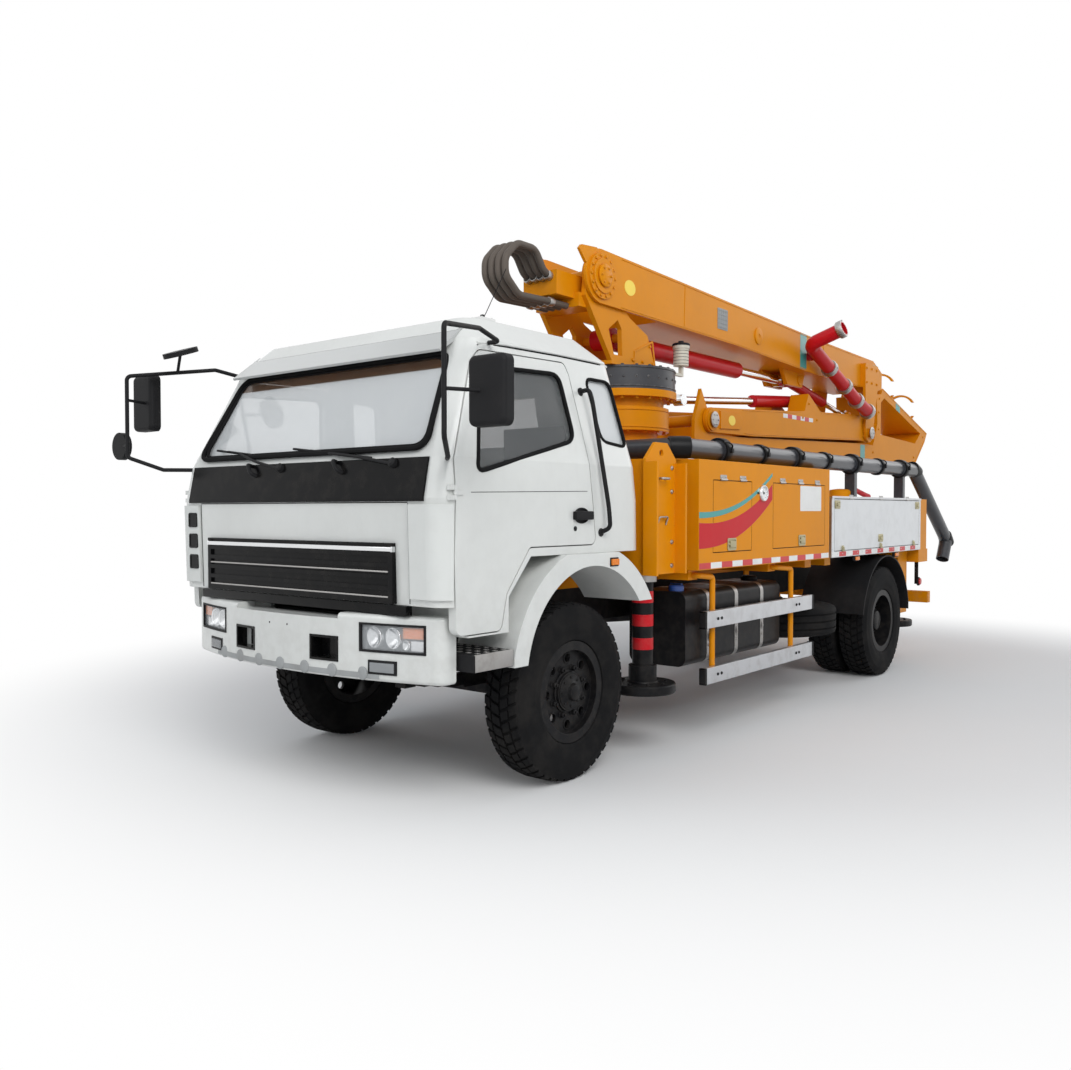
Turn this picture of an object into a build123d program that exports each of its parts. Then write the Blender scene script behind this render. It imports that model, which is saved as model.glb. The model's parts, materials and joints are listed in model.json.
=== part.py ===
from build123d import *
import math
import os

# Concrete pump truck, in millimetres. X runs forward, Y to the truck's left, Z up from the ground.
# Lengthways places are measured from the front axle. save() moves each piece to the centred origin.

# Overall
BUMPER_FRONT = 1228.0
TIP_X = -8870.0
MIRROR_X = 1350.0
MIRROR_Y = 1350.0
MIRROR_R = 12.0
FRONT_REACH = MIRROR_X + MIRROR_R
REAR_REACH = -TIP_X
BODY_HALF = 1200.0
AXLE_X = (FRONT_REACH + REAR_REACH) / 2 - FRONT_REACH

# Clearances
PIN_GAP = 0.3
SEAT = 0.3
MOVE_GAP = 6.0
DOOR_GAP = 6.0

# Wheels
WHEELBASE = 4700.0
REAR_X = -WHEELBASE
TYRE_R = 509.0
TYRE_W = 259.0
RIM_R = 254.0
FLANGE_R = 290.0
FLANGE_T = 12.0
BEAD_IN = 32.0
FRONT_TRACK_Y = 930.0
TWIN_OUTER_Y = 1035.0
TWIN_INNER_Y = 735.0
DISC_OUT = 86.0
SPINDLE_R = 35.0
HUB_R = 110.0
KINGPIN_Y = 740.0
KINGPIN_R = 20.0
HAND_HOLES = 8
GROOVE_W = 14.0
GROOVE_D = 12.0

# Chassis
RAIL_TOP = 1020.0
RAIL_H = 240.0
RAIL_Y = 430.0
RAIL_W = 80.0
RAIL_WALL = 10.0
RAIL_FRONT = 950.0
RAIL_REAR = -6120.0
SUB_H = 130.0
SUB_TOP = RAIL_TOP + SUB_H
SUB_FRONT = -640.0
SUB_REAR = -6120.0

SHAFT_Z = 760.0
NOSE_LENGTH = 330.0
NOSE_Z = TYRE_R + 60

# Cab
CAB_BACK = -605.0
CAB_FRONT = 1136.0
CAB_FLOOR = 1300.0
CAB_LOW = 920.0
CAB_ROOF = 2550.0
CAB_WALL = 45.0
CAB_HALF = 1130.0
DOOR_IN = 930.0
HINGE_X = 1056.0
HINGE_Y = 1136.0
HINGE_LOW = 1590.0
HINGE_PART = 24.0
HINGE_R = 9.0
HINGE_PIN_R = 5.0
GLASS_T = 8.0
ARCH_X = -30.0
ARCH_Z = 640.0
ARCH_R = 590.0
FENDER_W = 115.0

# Bumper
BUMPER_LOW = 685.0
BUMPER_TOP = 1020.0
BUMPER_CORNER = 1052.0
BUMPER_T = 110.0
BUMPER_HALF = 1050.0
BUMPER_END = 90.0
BUMPER_ROUND = 22.0
LAMP_BACK = BUMPER_CORNER - 10.0
FRONT_SILL = 1075.0
FOOTWELL_FRONT = 960.0

# Superstructure
BOX_FRONT = -1150.0
BOX_REAR = -3290.0
BOX_LOW = SUB_TOP + SEAT
BOX_TOP = 1875.0
BOX_IN = 740.0
TOOL_FRONT = -3345.0
BEARER_END = 1100.0
BEARERS = (-1250.0, -2430.0, -3100.0, -3500.0, -5200.0, -5950.0)
HOOP_LEGS = ((-1250.0, -1461.0), (-2430.0, -2711.0))
TOOL_REAR = -5610.0
TOOL_TOP = 1654.0
LEG_X = -820.0
LEG_HALF = 150.0
BEAM_Z = 1530.0
BEAM_H = 210.0
BEAM_W = 220.0
BEAM_WALL = 15.0
JACK_Y = 985.0
JACK_R = 67.0
FOOT_R = 205.0
FOOT_LOW = 390.0
REAR_JACK_X = -5440.0
REAR_JACK_Y = 960.0

# Column and boom
SLEW_X = -2000.0
BASE_TOP = 1950.0
RING_TOP = 2455.0
DRUM_R = 440.0
DRUM_TOP = 2630.0
ROOT_X = -1390.0
ROOT_Z = 3235.0
ROOT_R = 195.0
ROOT_PIN_R = 60.0
BOOM_HALF = 260.0
CHEEK_T = 22.0
TURRET_HALF = BOOM_HALF - CHEEK_T - MOVE_GAP
TURRET_T = 40.0
LUFF_X = -1800.0
LUFF_Z = 2860.0
LUFF_R = 75.0
LUFF_PIN_R = 35.0
LUFF_EYE_X = -4900.0
LUFF_EYE_Z = 2868.0
P2_X = -6590.0
P2_Z = 2420.0
P2_R = 105.0
P3_X = -2990.0
P3_Z = 2315.0
P3_R = 105.0
ARM_PIN_R = 50.0
ARM2_HALF = 280.0
ARM3_HALF = 246.0
ARM_GAP = 12.0
TILT2_X = -5100.0
TILT2_Z = 2880.0
LEVER2_X = -6560.0
LEVER2_Z = 2650.0
TILT2_R = 52.0
TRUNNION_X = -5000.0
TRUNNION_Z = 2660.0
TRUNNION_R = 22.0
TILT3_REAR = -5300.0
TILT3_FRONT = -4300.0
TILT3_SLOPE = 0.079
EYE3_X = -2930.0
HOOP_R = 190.0
HOOP_XS = (-7650.0, -8400.0)
HOSE_YS = (-90.0, -30.0, 30.0, 90.0)

# Delivery line
PIPE_R = 67.0
PIPE_WALL = 8.0
COLLAR = 12.0
COUPLINGS = ((-1700.0, BOX_TOP), (-2900.0, BOX_TOP), (-4140.0, TOOL_TOP), (-5420.0, TOOL_TOP))
PIPE_Y = 1050.0
PIPE_Z = 1955.0
HOPPER_LOW = 900.0
HOPPER_TOP = 1520.0
HOPPER_WALL = 12.0
GRATE_X = -6604.0
GRATE_Z = HOPPER_TOP + 20


def box(x0, x1, y0, y1, z0, z1):
    return Pos((x0 + x1) / 2, (y0 + y1) / 2, (z0 + z1) / 2) * Box(abs(x1 - x0), abs(y1 - y0), abs(z1 - z0))


def cyl_z(x, y, r, z0, z1):
    return Pos(x, y, (z0 + z1) / 2) * Cylinder(r, z1 - z0)


def cyl_x(x0, x1, y, z, r):
    return Pos((x0 + x1) / 2, y, z) * Rot(0, 90, 0) * Cylinder(r, x1 - x0)


def cyl_y(x, z, r, y0, y1):
    return Pos(x, (y0 + y1) / 2, z) * Rot(90, 0, 0) * Cylinder(r, y1 - y0)


def rod(start, end, r):
    a = Vector(*start)
    b = Vector(*end)
    plane = Plane(origin=a, z_dir=b - a)
    return extrude(plane * Circle(r), amount=(b - a).length)


def side_plate(outline, y0, y1):
    """A flat outline in X and Z, as thick as y0 to y1."""
    return extrude(Plane.XZ.offset(-y1) * outline, amount=y1 - y0, dir=(0, -1, 0))


def shape(*points):
    return Polygon(*points, align=None)


def disc(x, z, r):
    return Pos(x, z) * Circle(r)


def swap(solid):
    return solid.mirror(Plane.XZ)


def both(solid):
    return [solid, swap(solid)]


def hose(points, r, bend, wall=0):
    """A round bar through the points, or a pipe where it has a wall."""
    path = FilletPolyline(*[Vector(*p) for p in points], radius=bend)
    ring = Circle(r) - Circle(r - wall) if wall else Circle(r)
    return sweep(Plane(origin=path @ 0, z_dir=path % 0) * ring, path=path)


def save(name, *solids):
    moved = [Pos(AXLE_X, 0, 0) * s for s in solids]
    whole = moved[0] if len(moved) == 1 else Compound(children=moved)
    export_step(whole, f"parts/{name}.step")


# Wheels. Profiles have the radius along X and the width along Y, and turn about Y.
def tyre():
    half = TYRE_W / 2
    bead = half - BEAD_IN - SEAT
    profile = shape(
        (RIM_R + SEAT, -bead), (FLANGE_R + SEAT, -bead), (FLANGE_R + 6, -half + 14), (400, -half),
        (470, -half + 12), (TYRE_R - 8, -half + 26), (TYRE_R, -half + 50), (TYRE_R, half - 50),
        (TYRE_R - 8, half - 26), (470, half - 12), (400, half), (FLANGE_R + 6, half - 14),
        (FLANGE_R + SEAT, bead), (RIM_R + SEAT, bead))
    for y in (-58, 0, 58):
        profile -= Pos(TYRE_R, y) * Rectangle(2 * GROOVE_D, GROOVE_W)
    return revolve(profile, axis=Axis.Y)


def rim_barrel(half):
    barrel = Pos(RIM_R - 8, 0) * Rectangle(16, 2 * half)
    for side in (-1, 1):
        flange = Rectangle(FLANGE_R - RIM_R + 16, FLANGE_T)
        barrel += Pos((RIM_R - 16 + FLANGE_R) / 2, side * (half + FLANGE_T / 2)) * flange
    return barrel


def rim(disc_y, hub_y0, hub_y1, bore_y1):
    half = TYRE_W / 2 - BEAD_IN
    barrel = rim_barrel(half)
    barrel += Pos((RIM_R + 60) / 2, disc_y) * Rectangle(RIM_R - 60, 16)
    barrel += Pos(HUB_R / 2, (hub_y0 + hub_y1) / 2) * Rectangle(HUB_R, hub_y1 - hub_y0)
    wheel = revolve(barrel, axis=Axis.Y)
    for i in range(HAND_HOLES):
        a = math.radians(360 / HAND_HOLES * i)
        wheel -= Pos(190 * math.cos(a), 0, 190 * math.sin(a)) * Rot(90, 0, 0) * Cylinder(26, 4 * abs(disc_y) + 60)
    return wheel - cyl_y(0, 0, SPINDLE_R + PIN_GAP, hub_y0 - 1, bore_y1)


def knuckle_left():
    """Fork round the axle's eye, kingpin and stub axle."""
    z = TYRE_R
    back = box(-55, 55, KINGPIN_Y + 52, KINGPIN_Y + 80, z - 110, z + 110)
    ears = [box(-45, 45, KINGPIN_Y - 45, KINGPIN_Y + 52, z + s * 85 - 25, z + s * 85 + 25) for s in (-1, 1)]
    pin = cyl_z(0, KINGPIN_Y, KINGPIN_R, z - 105, z + 105)
    stub = cyl_y(0, z, SPINDLE_R, KINGPIN_Y + 80, FRONT_TRACK_Y + 60)
    return back + ears[0] + ears[1] + pin + stub


def front_axle():
    z = TYRE_R
    beam = box(-45, 45, -KINGPIN_Y + 75, KINGPIN_Y - 75, z - 75, z - 10)
    solid = beam
    for s in (-1, 1):
        solid += box(-45, 45, s * (KINGPIN_Y - 120), s * (KINGPIN_Y - 30), z - 55, z + 40)
        solid += cyl_z(0, s * KINGPIN_Y, 45, z - 59, z + 59)
        solid -= cyl_z(0, s * KINGPIN_Y, KINGPIN_R + PIN_GAP, z - 70, z + 70)
    return solid


def rear_axle():
    z = TYRE_R
    tube = cyl_y(REAR_X, z, 70, -570, 570)
    ball = Pos(REAR_X, 0, z) * Sphere(205)
    nose = cyl_x(REAR_X, REAR_X + NOSE_LENGTH, 0, NOSE_Z, 75)
    stub = cyl_y(REAR_X, z, SPINDLE_R, -TWIN_OUTER_Y, TWIN_OUTER_Y)
    return tube + ball + nose + stub


def build_wheels():
    front_rim = rim(60, -50, 95, 65)
    for side, turn in (("left", 1), ("right", -1)):
        place = Pos(0, turn * FRONT_TRACK_Y, TYRE_R)
        flip = Rot(0, 0, 0) if turn > 0 else Rot(0, 0, 180)
        save(f"front_tyre_{side}", place * flip * tyre())
        save(f"front_rim_{side}", place * flip * front_rim)
        outer = Pos(REAR_X, turn * TWIN_OUTER_Y, TYRE_R) * flip
        inner = Pos(REAR_X, turn * TWIN_INNER_Y, TYRE_R) * flip
        save(f"rear_tyres_{side}", outer * tyre(), inner * tyre())
        gap = TWIN_OUTER_Y - TWIN_INNER_Y - SEAT
        save(f"rear_rims_{side}", outer * rim(-105, -gap + DISC_OUT, 20, 10) + inner * rim_ring())
        save(f"knuckle_{side}", knuckle_left() if turn > 0 else swap(knuckle_left()))
    save("axles", front_axle(), rear_axle())


def rim_ring():
    """The inner rim of a twin wheel, a barrel with a disc to the shared hub."""
    half = TYRE_W / 2 - BEAD_IN
    barrel = rim_barrel(half)
    barrel += Pos((RIM_R + HUB_R - 10) / 2, DISC_OUT - 8) * Rectangle(RIM_R - HUB_R + 10, 16)
    return revolve(barrel, axis=Axis.Y)


def chassis_frame():
    z0 = RAIL_TOP - RAIL_H
    solid = None
    for s in (-1, 1):
        rail = box(RAIL_REAR, RAIL_FRONT, s * (RAIL_Y - RAIL_W), s * RAIL_Y, z0, RAIL_TOP)
        rail -= box(RAIL_REAR - 1, RAIL_FRONT + 1, s * (RAIL_Y - RAIL_W - 1), s * (RAIL_Y - RAIL_WALL),
                    z0 + RAIL_WALL, RAIL_TOP - RAIL_WALL)
        solid = rail if solid is None else solid + rail
    for s in (-1, 1):
        solid += box(-500, -420, s * RAIL_Y, s * 520, 960, RAIL_TOP) + box(-500, -420, s * 455, s * 520, 960, CAB_FLOOR - SEAT)
        solid += box(700, 780, s * RAIL_Y, s * 520, 850, CAB_LOW - SEAT)
    for x in (880, -1150, -2100, -3300, -5600, -6060):
        solid += box(x - 50, x + 50, -RAIL_Y + RAIL_WALL, RAIL_Y - RAIL_WALL, z0 + 40, RAIL_TOP - 40)
    return solid


def leaf_spring(x, y, half_length, leaves, top, seat_z):
    """One leaf pack, with each leaf shorter than the one above, and its two hangers."""
    thick = (top - seat_z) / leaves
    pack = None
    for i in range(leaves):
        reach = half_length * (1 - 0.8 * (leaves - 1 - i) / leaves)
        leaf = box(x - reach, x + reach, y - 38, y + 38, seat_z + i * thick, seat_z + (i + 1) * thick)
        pack = leaf if pack is None else pack + leaf
    for s in (-1, 1):
        pack += box(x + s * half_length - 40, x + s * half_length + 40, y - 40, y + 40,
                    top - 20, RAIL_TOP - RAIL_H)
    return pack


def build_chassis():
    save("chassis_frame", chassis_frame())
    springs = []
    for s in (-1, 1):
        y = s * (RAIL_Y - RAIL_W / 2)
        springs.append(leaf_spring(0, y, 680, 5, TYRE_R + 70, TYRE_R - 10))
        springs.append(leaf_spring(REAR_X, y, 720, 7, TYRE_R + 190, TYRE_R + 70))
    save("leaf_springs", *springs)
    engine = box(-420, 760, -300, 300, 640, 1240)
    web = RAIL_Y - RAIL_WALL - SEAT
    engine += box(300, 380, -web, web, 850, 950) + box(-300, -220, -web, web, 850, 950)
    gearbox = extrude(Plane(origin=(-420, 0, SHAFT_Z), z_dir=(-1, 0, 0)) * Rectangle(400, 420), amount=620, taper=9)
    nose = REAR_X + NOSE_LENGTH + SEAT
    shaft = rod((-1030, 0, SHAFT_Z), (nose + 40, 0, NOSE_Z), 45) + cyl_x(nose, nose + 50, 0, NOSE_Z, 62)
    save("power_train", engine + gearbox + shaft)


# Cab
def cab_levels():
    """Plan sections of the cab: height, back, front and half width."""
    return (
        (880.0, CAB_BACK, CAB_FRONT - 20, CAB_HALF),
        (1600.0, CAB_BACK + 15, CAB_FRONT, CAB_HALF),
        (1800.0, CAB_BACK + 40, CAB_FRONT - 40, CAB_HALF - 5),
        (2420.0, CAB_BACK + 175, 800.0, CAB_HALF - 120),
        (CAB_ROOF, CAB_BACK + 300, 690.0, CAB_HALF - 250),
    )


def cab_form(inset, low, top):
    faces = []
    for z, back, front, half in cab_levels():
        z = min(z, top) if z == CAB_ROOF else z
        z = max(z, low)
        length = front - back - 2 * inset
        outline = Rectangle(length, 2 * (half - inset))
        outline = fillet(outline.vertices(), 110 - inset)
        faces.append((Pos((front + back) / 2, 0, z) * outline).face())
    return loft(faces, ruled=True)


def cab_side_outline(inset):
    low = CAB_LOW + inset
    outline = shape(
        (CAB_BACK - 50, CAB_ROOF + 50), (CAB_FRONT + 100, CAB_ROOF + 50), (CAB_FRONT + 100, FRONT_SILL + inset),
        (FOOTWELL_FRONT - inset, FRONT_SILL + inset), (FOOTWELL_FRONT - inset, low), (660 + inset, low), (660 + inset, CAB_FLOOR + inset - 200), (480 + inset, CAB_FLOOR + inset),
        (CAB_BACK - 50, CAB_FLOOR + inset))
    return outline


DOOR_OUTLINE = (
    (1040.0, 935.0), (1050.0, 1304.0), (1040.0, 1790.0), (815.0, 2290.0), (760.0, 2350.0),
    (60.0, 2365.0), (30.0, 2300.0), (-30.0, 1900.0), (-100.0, 1350.0), (490.0, 1350.0), (676.0, 1120.0),
    (720.0, 935.0))
SCREEN_OUTLINE = ((-980.0, -280.0), (980.0, -280.0), (890.0, 280.0), (-890.0, 280.0))
WINDOW_OUTLINE = ((780.0, 2270.0), (125.0, 2295.0), (65.0, 1930.0), (900.0, 1725.0))
QUARTER_OUTLINE = ((-125.0, 2300.0), (-370.0, 2300.0), (-450.0, 1915.0), (-200.0, 1940.0))


def cab_pieces():
    outer = cab_form(0, 880, CAB_ROOF) & side_plate(cab_side_outline(0), -1300, 1300)
    inner = cab_form(CAB_WALL, 880, CAB_ROOF - 40) & side_plate(cab_side_outline(CAB_WALL), -1300, 1300)
    outer -= cab_tunnel(0)
    inner -= cab_tunnel(CAB_WALL)
    shell = outer - inner
    screen = Plane(origin=(950, 0, 2095), x_dir=(0, 1, 0), z_dir=(0.88, 0, 0.47))
    screen_outline = fillet(shape(*SCREEN_OUTLINE).vertices(), 60)
    screen_hole = extrude(screen * screen_outline, amount=150, both=True)
    rear_hole = box(CAB_BACK - 60, CAB_BACK + 260, -420, 420, 1960, 2260)
    window = side_plate(fillet(shape(*WINDOW_OUTLINE).vertices(), 45), DOOR_IN, 1300)
    quarter = side_plate(fillet(shape(*QUARTER_OUTLINE).vertices(), 35), DOOR_IN, 1300)
    door_outline = fillet(shape(*DOOR_OUTLINE).vertices(), 40)
    door_form = side_plate(door_outline, DOOR_IN, 1300)
    door_hole = side_plate(offset(door_outline, amount=DOOR_GAP), DOOR_IN, 1300)
    door_hole -= cab_form(CAB_WALL + DOOR_GAP, 880, CAB_ROOF)
    door = (cab_form(0, 880, CAB_ROOF) - cab_form(CAB_WALL, 880, CAB_ROOF)) & door_form - window
    shell = shell - door_hole - swap(door_hole) - quarter - swap(quarter) - screen_hole - rear_hole
    sheet = cab_form(14, 880, CAB_ROOF) - cab_form(14 + GLASS_T, 880, CAB_ROOF)
    panes = [trim(sheet & screen_hole), trim(sheet & rear_hole), trim(sheet & quarter), trim(sheet & swap(quarter))]
    door_glass = trim(sheet & window)
    return shell, door, door_glass, panes


def cab_tunnel(wall):
    """The raised tunnel over the engine and the rails."""
    return box(300, CAB_FRONT - 90 + wall, -RAIL_Y - 25 - wall, RAIL_Y + 25 + wall, 800, CAB_FLOOR - 30 + wall)


def trim(pane):
    return pane.solids()[0] if len(pane.solids()) > 1 else pane


def fender():
    """The flared arch over a front wheel."""
    ring = disc(ARCH_X, ARCH_Z, ARCH_R + FENDER_W) - disc(ARCH_X, ARCH_Z, ARCH_R)
    ring = ring & shape((-640, 1000), (-640, CAB_FLOOR - SEAT), (480, CAB_FLOOR - SEAT), (660 - SEAT, 1100),
                        (660 - SEAT, 740), (300, 740), (0, 1000))
    return side_plate(ring, 760, CAB_HALF + 40)


def build_cab():
    shell, door, door_glass, panes = cab_pieces()
    swinging, fixed = door_hinge()
    save("cab_shell", shell + fixed + swap(fixed))
    save("fenders", *both(fender()))
    save("cab_glass", *panes)
    handle = box(-40, 110, CAB_HALF - 4, CAB_HALF + 24, 1490, 1535)
    door = door + handle + swinging
    save("door_left", door)
    save("door_right", swap(door))
    save("door_glass_left", door_glass)
    save("door_glass_right", swap(door_glass))
    seats = []
    for y in (-560, 560):
        cushion = box(-250, 250, y - 250, y + 250, 1380, 1520)
        back = box(-400, -250, y - 250, y + 250, 1400, 2050)
        pedestal = box(-180, 180, y - 180, y + 180, CAB_FLOOR + CAB_WALL, 1380)
        seats.append(cushion + back + pedestal)
    board = box(700, 1040, -1000, 1000, 1560, 1740)
    board += box(900, 1040, -1000, 1000, CAB_FLOOR + CAB_WALL, 1560)
    board += box(900, 1040, -440, 440, CAB_FLOOR - 30 + CAB_WALL + SEAT, CAB_FLOOR + CAB_WALL)
    column = rod((790, 560, 1690), (540, 560, 1810), 28)
    wheel_plane = Plane(origin=(550, 560, 1805), z_dir=(-200, 0, 100))
    ring = wheel_plane * Torus(210, 16)
    spoke = extrude(wheel_plane * Rectangle(40, 420), amount=10, both=True)
    save("cab_interior", *seats, board + column + ring + spoke)


def door_hinge():
    """The door's leaf and knuckle, and the cab's leaf with two knuckles and the pin."""
    middle = (HINGE_LOW + HINGE_PART + 0.5, HINGE_LOW + 2 * HINGE_PART - 0.5)
    top = HINGE_LOW + 3 * HINGE_PART
    swinging = box(HINGE_X - 56, HINGE_X, HINGE_Y - 8, HINGE_Y + 2, *middle) + cyl_z(HINGE_X, HINGE_Y, HINGE_R, *middle)
    swinging -= cyl_z(HINGE_X, HINGE_Y, HINGE_PIN_R + PIN_GAP, middle[0] - 1, middle[1] + 1)
    fixed = cyl_z(HINGE_X, HINGE_Y, HINGE_PIN_R, HINGE_LOW, top)
    for low, high in ((HINGE_LOW, HINGE_LOW + HINGE_PART), (top - HINGE_PART, top)):
        fixed += cyl_z(HINGE_X, HINGE_Y, HINGE_R, low, high)
        fixed += box(HINGE_X, HINGE_X + 34, HINGE_Y - 24, HINGE_Y + 2, low, high)
    return swinging, fixed


def corner_panel():
    """The raised panel over each front corner of the cab."""
    skin = cab_form(-14, 880, CAB_ROOF) - cab_form(-SEAT, 880, CAB_ROOF)
    return skin & box(HINGE_X + 8, CAB_FRONT + 60, 905, CAB_HALF + 60, 1110, 1570)


def visor():
    """The sun strip above the windscreen, under the roof's brow."""
    strip = shape((700, 2470), (905, 2340), (912, 2352), (720, 2500))
    strip = strip - shape((600, 2300), (600, 2600), (690, 2600), (690, 2300))
    solid = side_plate(strip, -890, 890) - cab_form(-SEAT, 880, CAB_ROOF)
    return trim(solid)


def build_front():
    skin = cab_form(-12, 880, CAB_ROOF) - cab_form(-SEAT, 880, CAB_ROOF)
    cowl = skin & box(600, 1400, -1005, 1005, 1585, 1800)
    frame = box(CAB_FRONT - 40, CAB_FRONT + 16, -800, 800, 1080, 1380) - cab_form(-SEAT, 880, CAB_ROOF)
    for i in range(5):
        z = 1112 + 56 * i
        frame -= box(CAB_FRONT + 3, CAB_FRONT + 60, -770, 770, z, z + 34)
    save("front_panels", cowl, frame, *both(corner_panel()), visor())
    arc = ThreePointArc((BUMPER_CORNER, -BUMPER_HALF), (BUMPER_FRONT, 0), (BUMPER_CORNER, BUMPER_HALF))
    inner_x = BUMPER_FRONT - BUMPER_T - 40
    end_x = BUMPER_CORNER - BUMPER_END
    back = Polyline((BUMPER_CORNER, BUMPER_HALF), (end_x, BUMPER_HALF), (end_x, BUMPER_HALF - 40),
                    (inner_x, 700), (inner_x, -700), (end_x, -BUMPER_HALF + 40), (end_x, -BUMPER_HALF),
                    (BUMPER_CORNER, -BUMPER_HALF))
    plan = make_face(Curve() + [arc, back])
    bumper = extrude(Plane.XY.offset(BUMPER_LOW) * plan, amount=BUMPER_TOP - BUMPER_LOW)
    ends = bumper.edges().filter_by(Axis.Z).filter_by(lambda e: abs(e.center().Y) > BUMPER_HALF - 1)
    bumper = fillet(ends.filter_by(lambda e: e.center().X > BUMPER_CORNER - 1), BUMPER_END - 20)
    bumper = fillet(bumper.faces().sort_by(Axis.X)[-1].edges().filter_by(GeomType.CIRCLE), BUMPER_ROUND)
    bumper -= box(BUMPER_CORNER - 30, BUMPER_FRONT + 10, -440, 440, BUMPER_TOP - 30, BUMPER_TOP + 10)
    lamps = []
    for s in (-1, 1):
        pocket = box(LAMP_BACK, BUMPER_FRONT, s * 587, s * 956, 838, 973)
        lamp = (bumper & pocket) & box(0, BUMPER_FRONT, s * (587 + SEAT), s * (956 - SEAT), 838 + SEAT, 973 - SEAT)
        lamps.append(Pos(-8, 0, 0) * lamp - box(0, LAMP_BACK + SEAT, -1200, 1200, 0, 2000))
        bumper -= pocket
        bumper -= box(BUMPER_FRONT - 90, BUMPER_FRONT + 50, s * 250, s * 435, 775, 890)
    bumper += box(RAIL_FRONT + SEAT, BUMPER_FRONT - BUMPER_T - 30, -RAIL_Y, RAIL_Y, 780, 870)
    save("front_bumper", bumper)
    save("headlamps", *lamps)
    step = box(660, 950, 760, CAB_HALF + 30, 750, 835) + box(820, 900, RAIL_Y + SEAT, 780, 800, 830)
    rear = disc(REAR_X, TYRE_R, 616) - disc(REAR_X, TYRE_R, 604)
    rear = rear & shape((REAR_X - 700, 560), (REAR_X - 700, 1300), (REAR_X + 700, 1300), (REAR_X + 700, 620))
    guard = side_plate(rear, 600, BODY_HALF - 10)
    guard -= box(REAR_JACK_X - 140, REAR_JACK_X + 140, 590, BODY_HALF, 400, 1300)
    guard += box(REAR_X - 30, REAR_X + 30, RAIL_Y + SEAT, 640, 1085, TYRE_R + 605)
    save("mudguards", *both(step), *both(guard))


def corner_mirror(side, low, high):
    """A corner mirror: a bent tube from the roof to the pillar with a tall head."""
    s = 1 if side == "left" else -1
    tube = hose([(690, s * 1022, 2395), (690, s * 1090, 2395), (880, s * 1130, 2430), (MIRROR_X, s * MIRROR_Y, 2360),
                 (MIRROR_X, s * MIRROR_Y, 1865), (1190, s * 1217, 1790), (1067, s * 1094, 1790)], MIRROR_R, 30)
    x0, x1 = MIRROR_X - 220, MIRROR_X - 150
    head = fillet(box(x0, x1, s * 1345, s * 1565, low, high).edges().filter_by(Axis.X), 35)
    middle = (low + high) / 2
    stay = rod((x1 - 5, s * 1420, middle), (MIRROR_X, s * MIRROR_Y, middle), 9)
    return tube + fillet(head.edges().group_by(Axis.X)[-1], 25) + stay


def build_mirrors():
    left = corner_mirror("left", 1915, 2235)
    right = corner_mirror("right", 2040, 2390)
    round_head = rod((1290, -1490, 1940), (1330, -1490, 1940), 85)
    right += round_head + rod((1310, -1480, 1940), (MIRROR_X, -MIRROR_Y, 1940), 9)
    dish = Pos(1150, -1080, 2500) * Rot(0, 20, 0) * Cylinder(105, 30)
    right += dish + rod((1150, -1080, 2500), (1090, -1216, 2396), 9)
    save("mirrors", left, right)


def build_outriggers():
    """Front legs on beams that slide out, with a jack in each leg."""
    half = BEAM_W / 2
    inner = half - BEAM_WALL
    for side, s in (("left", 1), ("right", -1)):
        beam = box(LEG_X - inner + MOVE_GAP, LEG_X + inner - MOVE_GAP, 30, 900,
                   BEAM_Z - BEAM_H / 2 + BEAM_WALL + MOVE_GAP, BEAM_Z + BEAM_H / 2 - BEAM_WALL - MOVE_GAP)
        sleeve = box(LEG_X - LEG_HALF, LEG_X + LEG_HALF, 885, 1100, 1140, 1860)
        cap = shape((LEG_X - 180, 1140), (LEG_X + 180, 1140), (LEG_X + 180, 1860), (LEG_X + 70, 1965),
                    (LEG_X - 70, 1965), (LEG_X - 180, 1860))
        plate = side_plate(cap - disc(LEG_X, 1900, 22), 1100, 1120)
        ribs = [box(LEG_X + a, LEG_X + a + 20, 1120, BODY_HALF, 1140, 1840) for a in (-180, 160)]
        leg = beam + sleeve + plate + ribs[0] + ribs[1]
        leg -= cyl_z(LEG_X, JACK_Y, JACK_R + MOVE_GAP, 1200, 1800) + cyl_z(LEG_X, JACK_Y, JACK_R + PIN_GAP, 1100, 1210)
        jack = cyl_z(LEG_X, JACK_Y, JACK_R, 450, 1780) + cyl_z(LEG_X, JACK_Y, FOOT_R, FOOT_LOW, 450)
        jack += cyl_z(LEG_X, JACK_Y, 90, 450, 560)
        rear = cyl_z(REAR_JACK_X, REAR_JACK_Y, JACK_R, 450, 1130)
        rear += cyl_z(REAR_JACK_X, REAR_JACK_Y, FOOT_R, FOOT_LOW, 450)
        turn = (lambda q: q) if s > 0 else swap
        save(f"outrigger_{side}", turn(leg))
        save(f"front_jack_{side}", turn(jack))
        save(f"rear_jack_{side}", turn(rear))


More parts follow.
